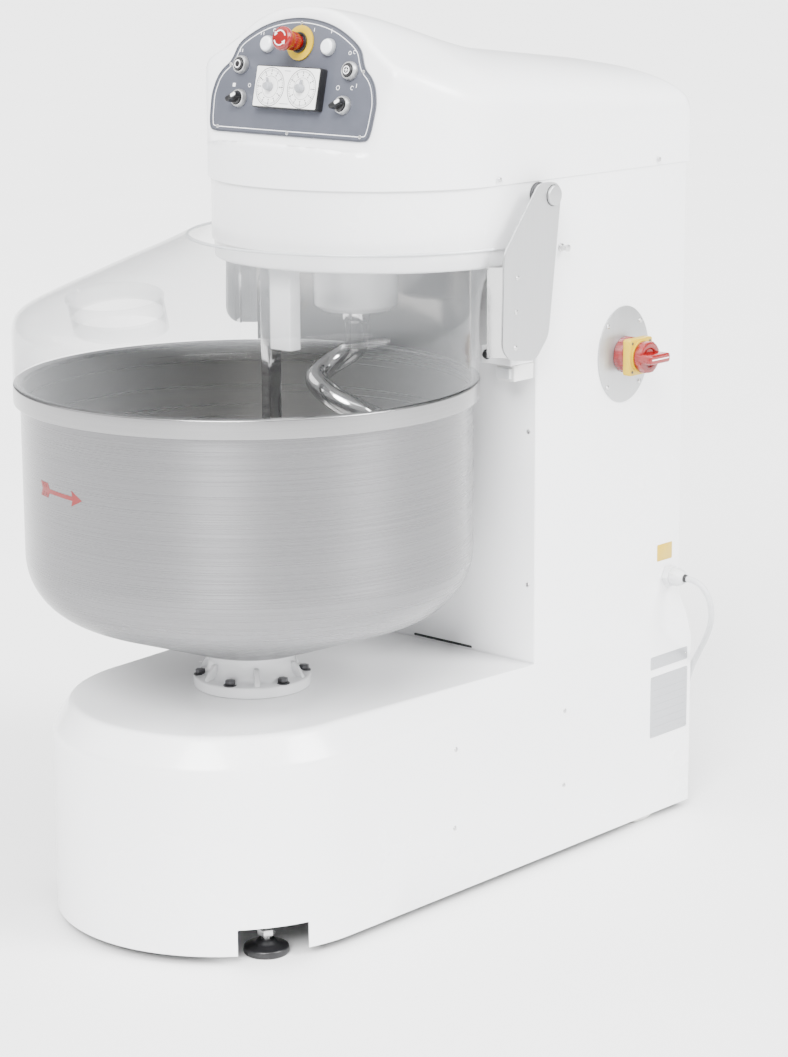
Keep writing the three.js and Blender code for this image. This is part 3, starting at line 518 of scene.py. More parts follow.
def coil_points():
    """Four turns, two beside each other and two on top of them, that start and end nearest the machine."""
    turns, per_turn = 4, 26
    outer, inner = COIL_R + CORD_D / 2, COIL_R - CORD_D / 2
    low, high = 0.8 + CORD_D / 2, 1.2 + CORD_D * 1.5
    stations = [(0, outer, low), (0.9, outer, low), (1.1, inner, low), (1.9, inner, low), (2.1, inner, high),
                (2.9, inner, high), (3.1, outer, high), (turns, outer, high)]
    result = []
    for i in range(int(turns * per_turn) + 1):
        turn = i / per_turn
        for (t0, r0, z0), (t1, r1, z1) in zip(stations, stations[1:]):
            if t0 <= turn <= t1:
                share = (turn - t0) / (t1 - t0)
                ease = smooth_step(share)
                radius, z = r0 + (r1 - r0) * ease, z0 + (z1 - z0) * ease
                break
        angle = -PI / 2 - 2 * PI * turn
        result.append((COIL[0] + radius * math.cos(angle), COIL[1] + radius * math.sin(angle), z))
    return result


def make_cord():
    plug_y, plug_z = PLUG_AXIS
    path = CORD_ROUTE + [(138, 643.8, 6.6), (118, 641.4, 6.3)] + coil_points()
    path += [(80, 642.5, 18.6), (60, 646, 21.2), (40, 652, 24.8), (22, 657.5, 27.5)]
    path += [(4, plug_y, plug_z), (-18, plug_y, plug_z)]
    data = bpy.data.curves.new("power_cable", "CURVE")
    data.dimensions = "3D"
    data.bevel_depth = CORD_D / 2 * MM
    data.bevel_resolution = 5
    data.use_fill_caps = True
    spline = data.splines.new("POLY")
    smooth = curve_points(path, 4)
    spline.points.add(len(smooth) - 1)
    for target, point in zip(spline.points, smooth):
        target.co = (point.x * MM, point.y * MM, point.z * MM, 1)
    data.materials.append(CABLE)
    cable = add_object("power_cable", data)
    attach(cable, "root")
    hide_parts("power_cord", "cord_coil")
    plug = make_plug()
    tie = make_tie()


def make_plug():
    """Industrial three-phase plug on its side: red body, ribbed ring, boot and five pins."""
    along = axes((0, 0, 1), (0, -1, 0), (1, 0, 0), (0, *PLUG_AXIS))  # local z runs along +X
    grip = [(27.4, -116), (27.4, -92)]
    neck = [(22, -89), (20, -52), (17, -44), (13, -35)]
    body = rounded_profile([(0, -154), (24, -154), (24, -118)] + grip + neck + [(0, -35)], 3)
    shell = lathe([(24, -154), (24, -165.5), (21.8, -165.5), (21.8, -154)], 48)
    cone = [(13.4, -36), (12.6, -26), (9.6, -8), (7.6, 20), (5.7, 22), (5.7, -22)]
    boot = lathe(rounded_profile([(0, -36)] + cone + [(0, -22)], 1), 32)
    parts = [(moved(lathe(body, 48), along), RED), (moved(shell, along), RED), (moved(boot, along), BLACK)]
    for rib in around(block((-1.5, 26.2, -113), (1.5, 27.9, -95), 0.4, 0.4), 12):
        parts.append((moved(rib, along), RED))
    pin = lathe([(0, -163), (2.6, -163), (3, -162), (3, -153), (0, -153)], 16)
    for x, y in oval(12.5, 12.5, 5):
        parts.append((moved(pin, along @ at(x, y, 0)), ZINC))
    return piece("plug_body", "root", parts, ["power_plug"])


def make_tie():
    """Strap round the bundle of turns."""
    inner = rounded_rectangle(-13.2, 1.4, 13.2, 24.6, 5)
    outer = offset_outline(inner, -0.9)
    width = 5
    points = []
    for outline, y in ((inner, -width), (outer, -width), (outer, width), (inner, width)):
        points += [(COIL[0] - COIL_R + x, COIL[1] + y, z) for x, z in outline]
    strap = (points, loop_faces(4, len(inner)))
    return piece("cord_tie", "root", [(strap, BLACK)])


make_cord()


# ---- painted body ----
def plan(half, nose_y, rear_y, corner=5.0, nose_steps=72, side_steps=14):
    """Counter-clockwise plan: rounded rear corners, straight sides, half-round front."""
    end_y = rear_y - corner
    outline = quarter_turn(half - corner, end_y, corner, 0, 4)
    outline += quarter_turn(corner - half, end_y, corner, 90, 4)
    for k in range(1, side_steps + 1):
        outline.append((-half, end_y + (nose_y - end_y) * k / side_steps))
    for k in range(1, nose_steps):
        angle = PI + PI * k / nose_steps
        outline.append((half * math.cos(angle), nose_y + half * math.sin(angle)))
    for k in range(side_steps, 0, -1):
        outline.append((half, end_y + (nose_y - end_y) * k / side_steps))
    return outline


def cubic(a, b, c, d, t):
    """Value of a Bezier curve with four control values."""
    return a * (1 - t) ** 3 + 3 * b * t * (1 - t) ** 2 + 3 * c * t * t * (1 - t) + d * t ** 3


def rear_at(z):
    """Rear edge of the sides at a height: the base's upright back, then a sweep in to the column."""
    if z <= SWEEP_LOW_Z:
        return REAR_Y
    if z >= SWEEP_HIGH_Z:
        return COLUMN_REAR_Y
    low, high = 0.0, 1.0
    for _ in range(24):
        t = (low + high) / 2
        height = cubic(SWEEP_LOW_Z, SWEEP_LOW_Z + 47, SWEEP_HIGH_Z - 48, SWEEP_HIGH_Z, t)
        low, high = (t, high) if height < z else (low, t)
    return cubic(REAR_Y, REAR_Y, COLUMN_REAR_Y, COLUMN_REAR_Y, t)


def base_ring(z, inset, wall=0.0):
    """The base's plan at a height, drawn in by the chamfer, which fades out towards the column."""
    ring = []
    for x, y in plan(HALF_WIDTH - wall, BASE_NOSE_Y, rear_at(z) - wall):
        towards_front = min(1, max(0, (COLUMN_FRONT_Y - y) / (COLUMN_FRONT_Y - BASE_NOSE_Y)))
        scale = (HALF_WIDTH - inset * towards_front) / HALF_WIDTH
        ring.append((x * scale, BASE_NOSE_Y + (y - BASE_NOSE_Y) * scale if y < BASE_NOSE_Y else y, z))
    return ring


def bend(start, corner, end, steps=5):
    """Quadratic bend through a profile corner, as (z, inset) pairs."""
    result = []
    for k in range(steps + 1):
        t = k / steps
        pairs = zip(start, corner, end)
        result.append(tuple(a * (1 - t) ** 2 + 2 * b * t * (1 - t) + c * t * t for a, b, c in pairs))
    return result


def cut_with(target, shape, name):
    """Takes a closed shape away from a piece."""
    cutter = piece(name, "root", [(shape, GAP_SHADE)])
    modifier = target.modifiers.new(name, "BOOLEAN")
    modifier.operation = "DIFFERENCE"
    modifier.solver = "EXACT"
    modifier.object = cutter
    bpy.context.view_layer.update()
    evaluated = target.evaluated_get(bpy.context.evaluated_depsgraph_get())
    mesh = bpy.data.meshes.new_from_object(evaluated)
    target.modifiers.clear()
    target.data = mesh
    bpy.data.objects.remove(cutter)
    mesh.set_sharp_from_angle(angle=math.radians(35))


def make_base():
    profile = [(SKIRT_Z, 1.2), (SKIRT_Z + 1.2, 0), (120, 0), (220, 0), (300, 0)]
    profile += bend((CHAMFER_Z - 9, 0), (CHAMFER_Z, 0), (CHAMFER_Z + 8, 5.2))
    profile += bend((BASE_TOP_Z - 7, 26.5), (BASE_TOP_Z, 31), (BASE_TOP_Z, 39)) + [(BASE_TOP_Z, 44)]
    outer = [base_ring(z, inset) for z, inset in profile]
    inner_profile = [(SKIRT_Z, 0), (CHAMFER_Z - 6, 0), (BASE_TOP_Z - 6, 31)]
    inner = [base_ring(z, inset, SKIN) for z, inset in inner_profile]
    rings = list(reversed(inner)) + outer
    points, faces = loft(rings, cap=False)
    count = len(rings[0])
    faces.append(tuple(range(count))[::-1])
    faces.append(tuple(range((len(rings) - 1) * count, len(rings) * count)))
    base = piece("base_casing", "root", [((points, faces), PAINT)], ["base_shell"])
    for sign in (-1, 1):
        turn = Matrix.Rotation(sign * (PI / 2 - FOOT_ANGLE), 4, "Z")
        notch = plate(rounded_rectangle(-60, -60, 60, 60, 3), 2, 60, 2)
        x = sign * (HALF_WIDTH - 10) * math.cos(FOOT_ANGLE)
        y = BASE_NOSE_Y - (HALF_WIDTH - 10) * math.sin(FOOT_ANGLE)
        cut_with(base, moved(notch, at(x, y, 0) @ turn), "notch_cutter")
    return base


def column_ring(z, front):
    return [(x, y, z) for x, y in rounded_rectangle(-HALF_WIDTH, front, HALF_WIDTH, rear_at(z), 3.2, 4)]


def make_column():
    front = COLUMN_FRONT_Y + SHEET_T + GAP
    sweep = [BASE_TOP_Z + (SWEEP_HIGH_Z - BASE_TOP_Z) * k / 12 for k in range(1, 13)]
    heights = [BASE_TOP_Z + 0.02] + sweep + [700, 1000, SEAM_Z - GAP]
    casing = loft([column_ring(z, front) for z in heights])
    piece("column_casing", "root", [(casing, PAINT)], ["column_shell"])
    half = HALF_WIDTH - 0.6
    cover = plate(rounded_rectangle(-half, BASE_TOP_Z + 3, half, HEAD_BOTTOM_Z - 0.6, 1.5), -SHEET_T, 0, 0.8)
    parts = [(moved(cover, COLUMN_FACE), GLOSS)]
    piece("front_cover", "root", parts, ["column_front_cover"])
    back = plate(rounded_rectangle(-262, 462, 262, 1178, 6), -SHEET_T, 0, 0.8)
    parts = [(moved(back, REAR_FACE), PAINT)]
    for row in range(7):
        z = 1040 + row * 16
        for x in (-120, 120):
            # Each louvre opening is a thin near-black strip on the flat cover: painted shade, not a real
            # opening.
            louvre_shade = plate(rounded_rectangle(x - 70, z, x + 70, z + 6, 2.8), -0.5, 0.25, 0.2)
            parts.append((moved(louvre_shade, REAR_FACE), GAP_SHADE))
    piece("back_cover", "root", parts, ["rear_cover"])


def make_head():
    lower = [(HEAD_BOTTOM_Z, 9)] + bend((HEAD_BOTTOM_Z, 9), (HEAD_BOTTOM_Z, 4), (HEAD_BOTTOM_Z + 5, 4), 4)
    step = HEAD_BAND_Z
    lower += [(step - 1.4, 4)] + bend((step - 1.4, 4), (step, 4), (step, 2.6), 3)
    lower += bend((step, 1.5), (step, 0), (step + 1.5, 0), 3) + [(1140, 0), (1180, 0), (SEAM_Z - GAP, 0)]
    rings = []
    for z, inset in lower:
        outline = plan(HALF_WIDTH - inset, HEAD_NOSE_Y, COLUMN_FRONT_Y + SHEET_T, 0.3, 90, 4)
        rings.append([(x, y, z) for x, y in outline])
    piece("head_casing", "root", [(loft(rings), PAINT)], ["head_shell"])


make_base()
make_column()
make_head()


# ---- hood: the surface where a smooth field is zero ----
def round_max(a, b, radius):
    """Larger of two distances, with a round edge where they cross."""
    both = math.hypot(max(a + radius, 0), max(b + radius, 0))
    return both - radius if a > -radius and b > -radius else max(a, b)


def soft_min(a, b, width):
    """Smaller of two distances, with a soft valley where they cross."""
    share = max(0.0, min(1.0, 0.5 + 0.5 * (b - a) / width))
    return b * (1 - share) + a * share - width * share * (1 - share)


def arch(x, z, half, crest, power):
    """About how far a point is outside an arched roof that springs from the hood's edge height."""
    rise = max(0.0, (z - HOOD_EDGE_Z) / max(20.0, crest - HOOD_EDGE_Z))
    return ((abs(x) / half) ** power + rise ** power) ** (1 / power) * 165 - 165


def hood_field(x, y, z):
    """Negative inside the hood, positive outside, in about millimetres."""
    side = math.hypot(x, y - HEAD_NOSE_Y) - HOOD_HALF if y < HEAD_NOSE_Y else abs(x) - HOOD_HALF
    roof = arch(x, z, HOOD_HALF + 3, HOOD_CREST_Z - 0.11 * max(0, y - 60), 2.5)
    past = max(0, y + 80)
    fairing = arch(x, z, 196, HEIGHT - 0.1 * past - 0.0007 * past ** 2, 2.35)
    top = soft_min(roof, fairing, 34)
    beyond = math.hypot(max(0, y - HOOD_ROUND_Y), max(0, z - HOOD_ROUND_Z))
    rear = beyond - HOOD_ROUND_R - max(0, HOOD_ROUND_Y - y)
    body = round_max(round_max(side, rear, 16), top, 12)
    up = z - PANEL_FOOT[2]
    back = y - PANEL_FOOT[1]
    out = -math.cos(PANEL_LEAN) * back + math.sin(PANEL_LEAN) * up
    along = math.sin(PANEL_LEAN) * back + math.cos(PANEL_LEAN) * up
    front = soft_min(out + 3.3, along + 24, 9)
    return round_max(body, front, 6)


def field_surface(field, low, high, step):
    """Quad mesh of the zero surface of a field: one point per crossed cell, moved on to the surface."""
    nx, ny, nz = [int(math.ceil((high[i] - low[i]) / step)) + 1 for i in range(3)]
    grid = [[[field(low[0] + i * step, low[1] + j * step, low[2] + k * step) for k in range(nz)]
             for j in range(ny)] for i in range(nx)]
    corners = [(a, b, c) for a in (0, 1) for b in (0, 1) for c in (0, 1)]
    edges = [(p, q) for p in corners for q in corners
             if p < q and sum(abs(u - v) for u, v in zip(p, q)) == 1]
    cells, points = {}, []
    for i in range(nx - 1):
        for j in range(ny - 1):
            for k in range(nz - 1):
                here = [grid[i + a][j + b][k + c] for a, b, c in corners]
                if min(here) >= 0 or max(here) < 0:
                    continue
                total, crossed = Vector((0, 0, 0)), 0
                for p, q in edges:
                    first = grid[i + p[0]][j + p[1]][k + p[2]]
                    second = grid[i + q[0]][j + q[1]][k + q[2]]
                    if (first < 0) != (second < 0):
                        share = first / (first - second)
                        total += Vector(p).lerp(Vector(q), share)
                        crossed += 1
                middle = total / crossed + Vector((i, j, k))
                cells[(i, j, k)] = len(points)
                points.append(Vector(low) + middle * step)
    faces = []
    for (i, j, k) in cells:
        around = (
            ((i + 1, j, k), [(i, j, k), (i, j - 1, k), (i, j - 1, k - 1), (i, j, k - 1)]),
            ((i, j + 1, k), [(i, j, k), (i, j, k - 1), (i - 1, j, k - 1), (i - 1, j, k)]),
            ((i, j, k + 1), [(i, j, k), (i - 1, j, k), (i - 1, j - 1, k), (i, j - 1, k)]),
        )
        for (a, b, c), ring in around:
            first, second = grid[i][j][k] < 0, grid[a][b][c] < 0
            if first != second and all(cell in cells for cell in ring):
                quad = [cells[cell] for cell in ring]
                faces.append(tuple(quad) if first else tuple(reversed(quad)))
    for index, point in enumerate(points):
        for _ in range(2):
            here = field(*point)
            slope = Vector((field(point.x + 1, point.y, point.z) - here,
                            field(point.x, point.y + 1, point.z) - here,
                            field(point.x, point.y, point.z + 1) - here))
            reach = slope.length_squared
            if reach > 0.05:
                point -= slope * max(-step, min(step, here)) / reach
        points[index] = point
    return [tuple(point) for point in points], faces


def make_hood():
    step = 8
    shape = field_surface(hood_field, (-304, -224, 1196), (304, 616, 1512), step)
    hood = piece("hood_cover", "root", [(shape, HOOD_PAINT)], ["hood"], crease=60)
    trimmed = bmesh.new()
    trimmed.from_mesh(hood.data)
    everything = trimmed.verts[:] + trimmed.edges[:] + trimmed.faces[:]
    bmesh.ops.bisect_plane(trimmed, geom=everything, plane_co=(0, 0, SEAM_Z * MM), plane_no=(0, 0, -1),
                           clear_outer=True)
    rim = [edge for edge in trimmed.edges if edge.is_boundary]
    lip = bmesh.ops.extrude_edge_only(trimmed, edges=rim)
    for vertex in (item for item in lip["geom"] if isinstance(item, bmesh.types.BMVert)):
        vertex.co.x *= 0.975
        vertex.co.y = 0.2 + (vertex.co.y - 0.2) * 0.98
    trimmed.to_mesh(hood.data)
    trimmed.free()
    hood.data.set_sharp_from_angle(angle=math.radians(50))


make_hood()


# ---- control panel ----
PANEL_HALF = [
    (46, 185.5), (86, 174), (121, 156), (139, 141), (148, 122), (155, 111), (169, 99), (180, 83), (187, 58),
]


def panel_outline():
    right = [(163, -6), (178, -2.5), (184, 12), (186.5, 35)] + list(reversed(PANEL_HALF)) + [(0, 190)]
    left = [(-x, y) for x, y in reversed(right[:-1])]
    points = curve_points([(x, y, 0) for x, y in right + left], 4)
    return [(p.x, p.y) for p in points]


def ribbon(outline, width, low, high):
    """Thin closed band that follows an outline."""
    inner = offset_outline(outline, width)
    rows = ((outline, low), (outline, high), (inner, high), (inner, low))
    points = [(x, y, z) for ring, z in rows for x, y in ring]
    return points, loop_faces(4, len(outline))


def arc_band(radius, width, start, end, low, high, steps=28):
    """Flat part-ring printed or laid on a face, angles in degrees."""
    points = []
    for k in range(steps + 1):
        angle = math.radians(start + (end - start) * k / steps)
        for r, z in ((radius, low), (radius + width, low), (radius + width, high), (radius, high)):
            points.append((r * math.cos(angle), r * math.sin(angle), z))
    faces = [(3, 2, 1, 0), tuple(steps * 4 + i for i in range(4))]
    for k in range(steps):
        for i in range(4):
            a, b = k * 4 + i, k * 4 + (i + 1) % 4
            faces.append((a, b, b + 4, a + 4))
    return points, faces


def ring_shape(outer, inner, low, high, edge=0.8, sides=48):
    profile = [(inner, low), (outer, low), (outer, high), (inner, high), (inner, low)]
    return lathe(rounded_profile(profile, edge, 2), sides)


def icon(x, y, size, kind):
    """Small generic printed symbol on the panel face."""
    spot = at(x, y, 0)
    if kind == "ring":
        return [moved(arc_band(size * 0.7, 0.9, 0, 360, 0.05, 0.18), spot)]
    if kind == "turn":
        return [moved(arc_band(size * 0.7, 0.9, 30, 300, 0.05, 0.18), spot)]
    if kind == "square":
        return [moved(plate(rounded_rectangle(-size, -size, size, size, 1), 0.05, 0.18, 0.05), spot)]
    bar = moved(plate(rounded_rectangle(-0.6, -size, 0.6, size, 0.4), 0.05, 0.18, 0.05), spot)
    return [bar]


def make_panel():
    outline = panel_outline()
    parts = [(moved(plate(outline, -3, 0, 1.0), PANEL), PANEL_GREY)]
    rim = ribbon(offset_outline(outline, 0.3), 2.6, -0.1, 0.25)
    parts.append((moved(rim, PANEL), PANEL_EDGE))
    line = ribbon(offset_outline(outline, 7.5), 1.3, -0.1, 0.12)
    parts.append((moved(line, PANEL), PRINT_WHITE))
    icons = [
        (-137, 73, 3.2, "square"), (-101, 74, 3.4, "ring"), (100, 79, 4.2, "ring"), (131, 80, 3.6, "turn"),
        (140, 84, 3.4, "bar"), (116, 136, 3.4, "ring"), (126, 138, 3.2, "turn"), (-128, 131, 2.6, "bar"),
        (-133, 131, 2.6, "bar"), (69, 170, 3.6, "bar"), (-84, 161, 2.6, "bar"), (-90, 161, 2.6, "bar"),
        (30, 171, 3, "bar"), (-60, 167, 3, "ring"),
    ]
    for x, y, size, kind in icons:
        for shape in icon(x, y, size, kind):
            parts.append((moved(shape, PANEL), PRINT_WHITE))
    piece("panel_plate", "root", parts, ["control_panel"])
    screws = []
    for x, y in ((0, 181), (0, -1), (-151, 107), (151, 107), (-163, 2), (163, 2)):
        screws.append((moved(screw_head(3.1, 1.6), PANEL @ at(x, y, 0.3)), ZINC))
    piece("panel_screws", "root", screws)


def make_timer_box():
    parts = [(moved(block((-73, 37, 0.3), (73, 107, 16), 3, 0.8), PANEL), BLACK),
             (moved(block((-71, 39, 16), (71, 105, 17.6), 2, 0.6), PANEL), WHITE_PLASTIC)]
    for sign in (-1, 1):
        dial = PANEL @ at(sign * TIMER_PLACE[0], TIMER_PLACE[1], TIMER_FACE)
        parts.append((moved(arc_band(31.2, 1.1, 0, 360, -0.1, 0.12, 60), dial), BLACK))
        parts.append((moved(arc_band(17.5, 0.5, 0, 360, -0.1, 0.12, 60), dial), BLACK))
        for k in range(60):
            length = 5.5 if k % 5 == 0 else 2.8
            width = 0.75 if k % 5 == 0 else 0.4
            tick = plate(rounded_rectangle(-width, 29.6 - length, width, 29.6, 0.15), -0.1, 0.12, 0.05, 1)
            parts.append((moved(tick, dial @ Matrix.Rotation(2 * PI * k / 60, 4, "Z")), BLACK))
        for mark in around(plate(rounded_rectangle(-1.1, 20.4, 1.1, 22.6, 0.5), -0.1, 0.12, 0.05, 1), 12):
            parts.append((moved(mark, dial), BLACK))
    for y, width in ((45, 10), (99, 7)):
        strip = plate(rounded_rectangle(-width, y - 0.6, width, y + 0.6, 0.4), 17.5, 17.75, 0.05, 1)
        parts.append((moved(strip, PANEL), GREY))
    piece("timer_face", "root", parts, ["timer_box"])
    for side, sign in (("left", -1), ("right", 1)):
        knob = lathe(rounded_profile([(0, 0), (8, 0), (7.2, 3), (6.2, 11), (0, 11.6)], 1.2, 3), 32)
        pointer = block((-1.3, -7.6, 3), (1.3, 14.5, 9.5), 1, 0.6)
        spot = PANEL @ at(sign * TIMER_PLACE[0], TIMER_PLACE[1], TIMER_FACE + 0.7)
        place = spot @ Matrix.Rotation(sign * -0.25, 4, "Z")
        line = block((-0.5, 3, 9.3), (0.5, 14, 9.8), 0.4, 0.1)
        parts = [(moved(knob, place), GREY), (moved(pointer, place), GREY), (moved(line, place), PRINT_WHITE)]
        piece(f"timer_pointer_{side}", f"timer_knob_{side}", parts, [f"timer_knob_{side}"])


def make_push_button(side, sign, bezel):
    spot = PANEL @ at(sign * BUTTON_PLACE[0], BUTTON_PLACE[1], 0)
    ring = [(moved(bezel, spot), SATIN)]
    piece(f"button_ring_{side}", "root", ring, [f"button_bezel_{side}"])
    cap = lathe(rounded_profile([(0, 5), (10.5, 5), (10.5, 11.4), (8.5, 12.3), (0, 12.5)], 0.8, 3), 40)
    parts = [(moved(cap, spot), BLACK)]
    parts.append((moved(arc_band(5.2, 1.7, 0, 360, 12.2, 12.75), spot), PRINT_WHITE))
    if side == "right":
        for turn in (0, PI / 2):
            cross = spun(block((-3.6, -0.7, 12.2), (3.6, 0.7, 12.75), 0.4, 0.1), turn)
            parts.append((moved(cross, spot), PRINT_WHITE))
    piece(f"push_cap_{side}", f"push_button_{side}", parts, [f"push_button_{side}"])


def make_selector(side, sign, bezel):
    spot = PANEL @ at(sign * SELECTOR_PLACE[0], SELECTOR_PLACE[1], 0)
    ring = [(moved(bezel, spot), SATIN)]
    piece(f"selector_ring_{side}", "root", ring, [f"selector_bezel_{side}"])
    hub = lathe(rounded_profile([(0, 3), (10.5, 3), (10.5, 12), (9, 13), (0, 13)], 0.8, 3), 40)
    turned = spot @ Matrix.Rotation(0.5, 4, "Z")
    outline = smooth_outline([(-13, -4.4), (13, -4.4), (13, 4.4), (-13, 4.4)], 4)
    lever = moved(plate(outline, 11, 25, 1.6, 3), turned)
    mark = moved(block((1, -2.9, 24.4), (12, 2.9, 25.2), 2, 0.3), turned)
    parts = [(moved(hub, spot), BLACK), (lever, BLACK), (mark, PRINT_WHITE)]
    piece(f"selector_lever_{side}", f"selector_{side}", parts, [f"selector_{side}"])


def make_lamp(side, sign):
    spot = PANEL @ at(sign * LAMP_PLACE[0], LAMP_PLACE[1], 0)
    collar_profile = [(12.6, 0.3), (14.4, 0.3), (14, 5), (13, 7.5), (12, 7.5)]
    collar = lathe(rounded_profile(collar_profile, 0.6, 2), 48)
    lens = lathe(rounded_profile([(0, 0.5), (12.8, 0.5), (12.6, 8), (10.2, 11), (0, 11.6)], 1.6, 4), 48)
    parts = [(moved(collar, spot), GREY), (moved(lens, spot), LAMP)]
    piece(f"lamp_lens_{side}", "root", parts, [f"lamp_{side}"])


def make_buttons():
    profile = [(11.2, 0.3), (15.6, 0.3), (15.2, 5), (13.6, 10), (11.4, 10), (11.2, 4)]
    bezel = lathe(rounded_profile(profile, 0.9, 3), 48)
    for side, sign in (("left", -1), ("right", 1)):
        make_push_button(side, sign, bezel)
        make_selector(side, sign, bezel)
        make_lamp(side, sign)


def make_estop():
    spot = PANEL @ at(ESTOP_PLACE[0], ESTOP_PLACE[1], 0)
    # The black ring round the mushroom's foot is painted shade: the shadow the mushroom casts on the yellow
    # disc.
    collar = [(moved(ring_shape(29, 13.6, 0.3, 3.9), spot), YELLOW),
              (moved(ring_shape(17.5, 13.7, 3.9, 7.5, 1.2), spot), BLACK)]
    piece("estop_disc", "root", collar, ["estop_collar"])
    stem = [(0, 6.2), (12, 6.2), (12.2, 14), (14.6, 15.2), (14.9, 30)]
    cap = [(17.2, 36), (19.6, 41), (20, 46), (18.6, 50.4), (13, 51.7), (0, 51.8)]
    parts = [(moved(lathe(rounded_profile(stem + cap, 2.2, 4), 56), spot), RED)]
    for rib in around(block((-0.6, 14.3, 17), (0.6, 15.5, 30), 0.3, 0.3), 24):
        parts.append((moved(rib, spot), RED))
    tip = plate(smooth_outline([(8.6, -2.4), (15.4, -2.4), (12, 4.2)], 0.5), 51.2, 51.98, 0.1, 1)
    for start in (20, 200):
        end = start + 128
        parts.append((moved(arc_band(11.2, 1.7, start, end, 51.2, 51.98), spot), PRINT_WHITE))
        parts.append((moved(spun(tip, math.radians(end)), spot), PRINT_WHITE))
    piece("estop_mushroom", "estop", parts, ["estop_button"])


make_panel()
make_timer_box()
make_buttons()
make_estop()


# ---- bowl and pedestal ----
def bowl_wall(offset, steps=14):
    """Bowl's wall, knuckle and sloped bottom as (radius, z), from the wall down to the axis."""
    slope = math.radians(19.5)
    knee = BOWL_R - BOWL_KNUCKLE_R
    profile = []
    for k in range(steps + 1):
        angle = (PI / 2 - slope) * k / steps
        radius = BOWL_KNUCKLE_R - offset
        profile.append((knee + radius * math.cos(angle), BOWL_KNUCKLE_Z - radius * math.sin(angle)))
    end_r, end_z = profile[-1]
    floor_z = BOWL_BOTTOM_Z + offset
    flat_r = end_r - (end_z - floor_z) / math.tan(slope)
    profile += [(end_r * 0.66 + flat_r * 0.34, end_z * 0.66 + floor_z * 0.34), (flat_r + 6, floor_z + 1.6),
                (flat_r - 8, floor_z), (60, floor_z)]
    return profile


def make_bowl():
    outside = list(reversed(bowl_wall(0)))
    outside = [(0, BOWL_BOTTOM_Z)] + outside + [(BOWL_R, 700), (BOWL_R, 800), (BOWL_R, BOWL_BAND_Z + 0.4)]
    inner_r = BOWL_R - SKIN
    band_corners = [
        (BOWL_R, BOWL_BAND_Z), (BOWL_RIM_R, BOWL_BAND_Z), (BOWL_RIM_R, BOWL_BAND_Z + 14),
        (BOWL_RIM_R, BOWL_TOP_Z), (inner_r, BOWL_TOP_Z), (inner_r, BOWL_TOP_Z - 8),
    ]
    band = rounded_profile(band_corners, 2.4, 4)
    inside = [(inner_r, 800), (inner_r, 700)] + bowl_wall(SKIN) + [(0, BOWL_BOTTOM_Z + SKIN)]
    axis = at(0, BOWL_Y, 0)
    skins = ((outside, BRUSHED), (band, RIM_STEEL), ([band[-1]] + inside, INNER))
    parts = [(moved(lathe(profile, 192), axis), material) for profile, material in skins]
    piece("bowl_body", "bowl", parts, ["bowl"], crease=30)


def on_bowl(shape, angle, z):
    """Wraps a flat shape on to the outside of the bowl: x runs round it, y up, z outwards."""
    points = []
    for x, y, out in shape[0]:
        turn = math.radians(angle) + x / BOWL_R
        radius = BOWL_R + out
        points.append((radius * math.cos(turn), BOWL_Y + radius * math.sin(turn), z + y))
    return points, shape[1]


def split_bar(x0, x1, y0, y1, low, high, steps=12):
    """Thin bar in short lengths, so that it can be wrapped."""
    rings = []
    for k in range(steps + 1):
        x = x0 + (x1 - x0) * k / steps
        rings.append([(x, y0, low), (x, y0, high), (x, y1, high), (x, y1, low)])
    points, faces = loft(rings)
    return points, [tuple(reversed(face)) for face in faces]


def make_arrow():
    """Red arrow that shows which way the bowl turns: feathered tail, bar and head."""
    low, high = 0.05, 0.4
    shapes = [split_bar(-46, 40, -3.4, 3.4, low, high, 16)]
    head = plate(smooth_outline([(34, -13), (60, 0), (34, 13), (38, 0)], 0.8, 2), low, high, 0.05, 1)
    shapes.append(head)
    for k in range(3):
        x = -58 + 9 * k
        for sign in (-1, 1):
            outline = [(x, sign * 12), (x + 7, sign * 12), (x + 14, 0), (x + 6, 0)]
            if sign > 0:
                outline.reverse()
            shapes.append(plate(outline, low, high, 0.05, 1))
    tilted = [moved(shape, Matrix.Rotation(-0.03, 4, "Z")) for shape in shapes]
    piece("turning_arrow", "bowl", [(on_bowl(shape, -98.7, 756), STICKER_RED) for shape in tilted])


def make_pedestal():
    axis = at(0, BOWL_Y, 0)
    low = BASE_TOP_Z + GAP
    high = BOWL_BOTTOM_Z - 4.5
    flange = [(38, low), (100, low), (100, low + 19), (80, low + 22)]
    neck = [(76, low + 30), (73, low + 48), (76, high - 5.5), (79, high), (38, high)]
    parts = [(moved(lathe(rounded_profile(flange + neck, 4, 4), 96), axis), PAINT)]
    outline = [(72, low + 8), (95, low + 8), (95, low + 22), (80, low + 46), (72, low + 46)]
    upright = axes((1, 0, 0), (0, 0, 1), (0, -1, 0), (0, 0, 0))
    first_rib = 0.35  # angle of one rib; the bolts stand half-way between the ribs
    for rib in around(moved(plate(smooth_outline(outline, 3, 3), -4.5, 4.5, 1.5, 2), upright), 6, first_rib):
        parts.append((moved(rib, axis), PAINT))
    piece("pedestal_casting", "root", parts, ["pedestal"])
    bolts = []
    for k in range(6):
        angle = first_rib + PI / 6 + k * PI / 3
        place = axis @ at(88 * math.cos(angle), 88 * math.sin(angle), low + 19.3)
        bolts.append((moved(hex_bolt(15, 8, 1.8), place), DARK_STEEL))
    piece("pedestal_bolts", "root", bolts)


make_bowl()
make_arrow()
make_pedestal()


# ---- spiral arm, its housing, the breaker and the rear guard ----
def spiral_point(t):
    """Centre line of the arm from its shaft (0) to its tip (1): it opens out, winds down and closes in."""
    angle = math.radians(170) + t * SPIRAL_TURNS * 2 * PI
    spread = smooth_step(t / 0.16)
    radius = SPIRAL_R * spread - 34 * smooth_step((t - 0.72) / 0.28)
    height = SPIRAL_TOP_Z - SPIRAL_DROP * t - 12 * spread
    return radius * math.cos(angle), SPIRAL_Y + radius * math.sin(angle), height


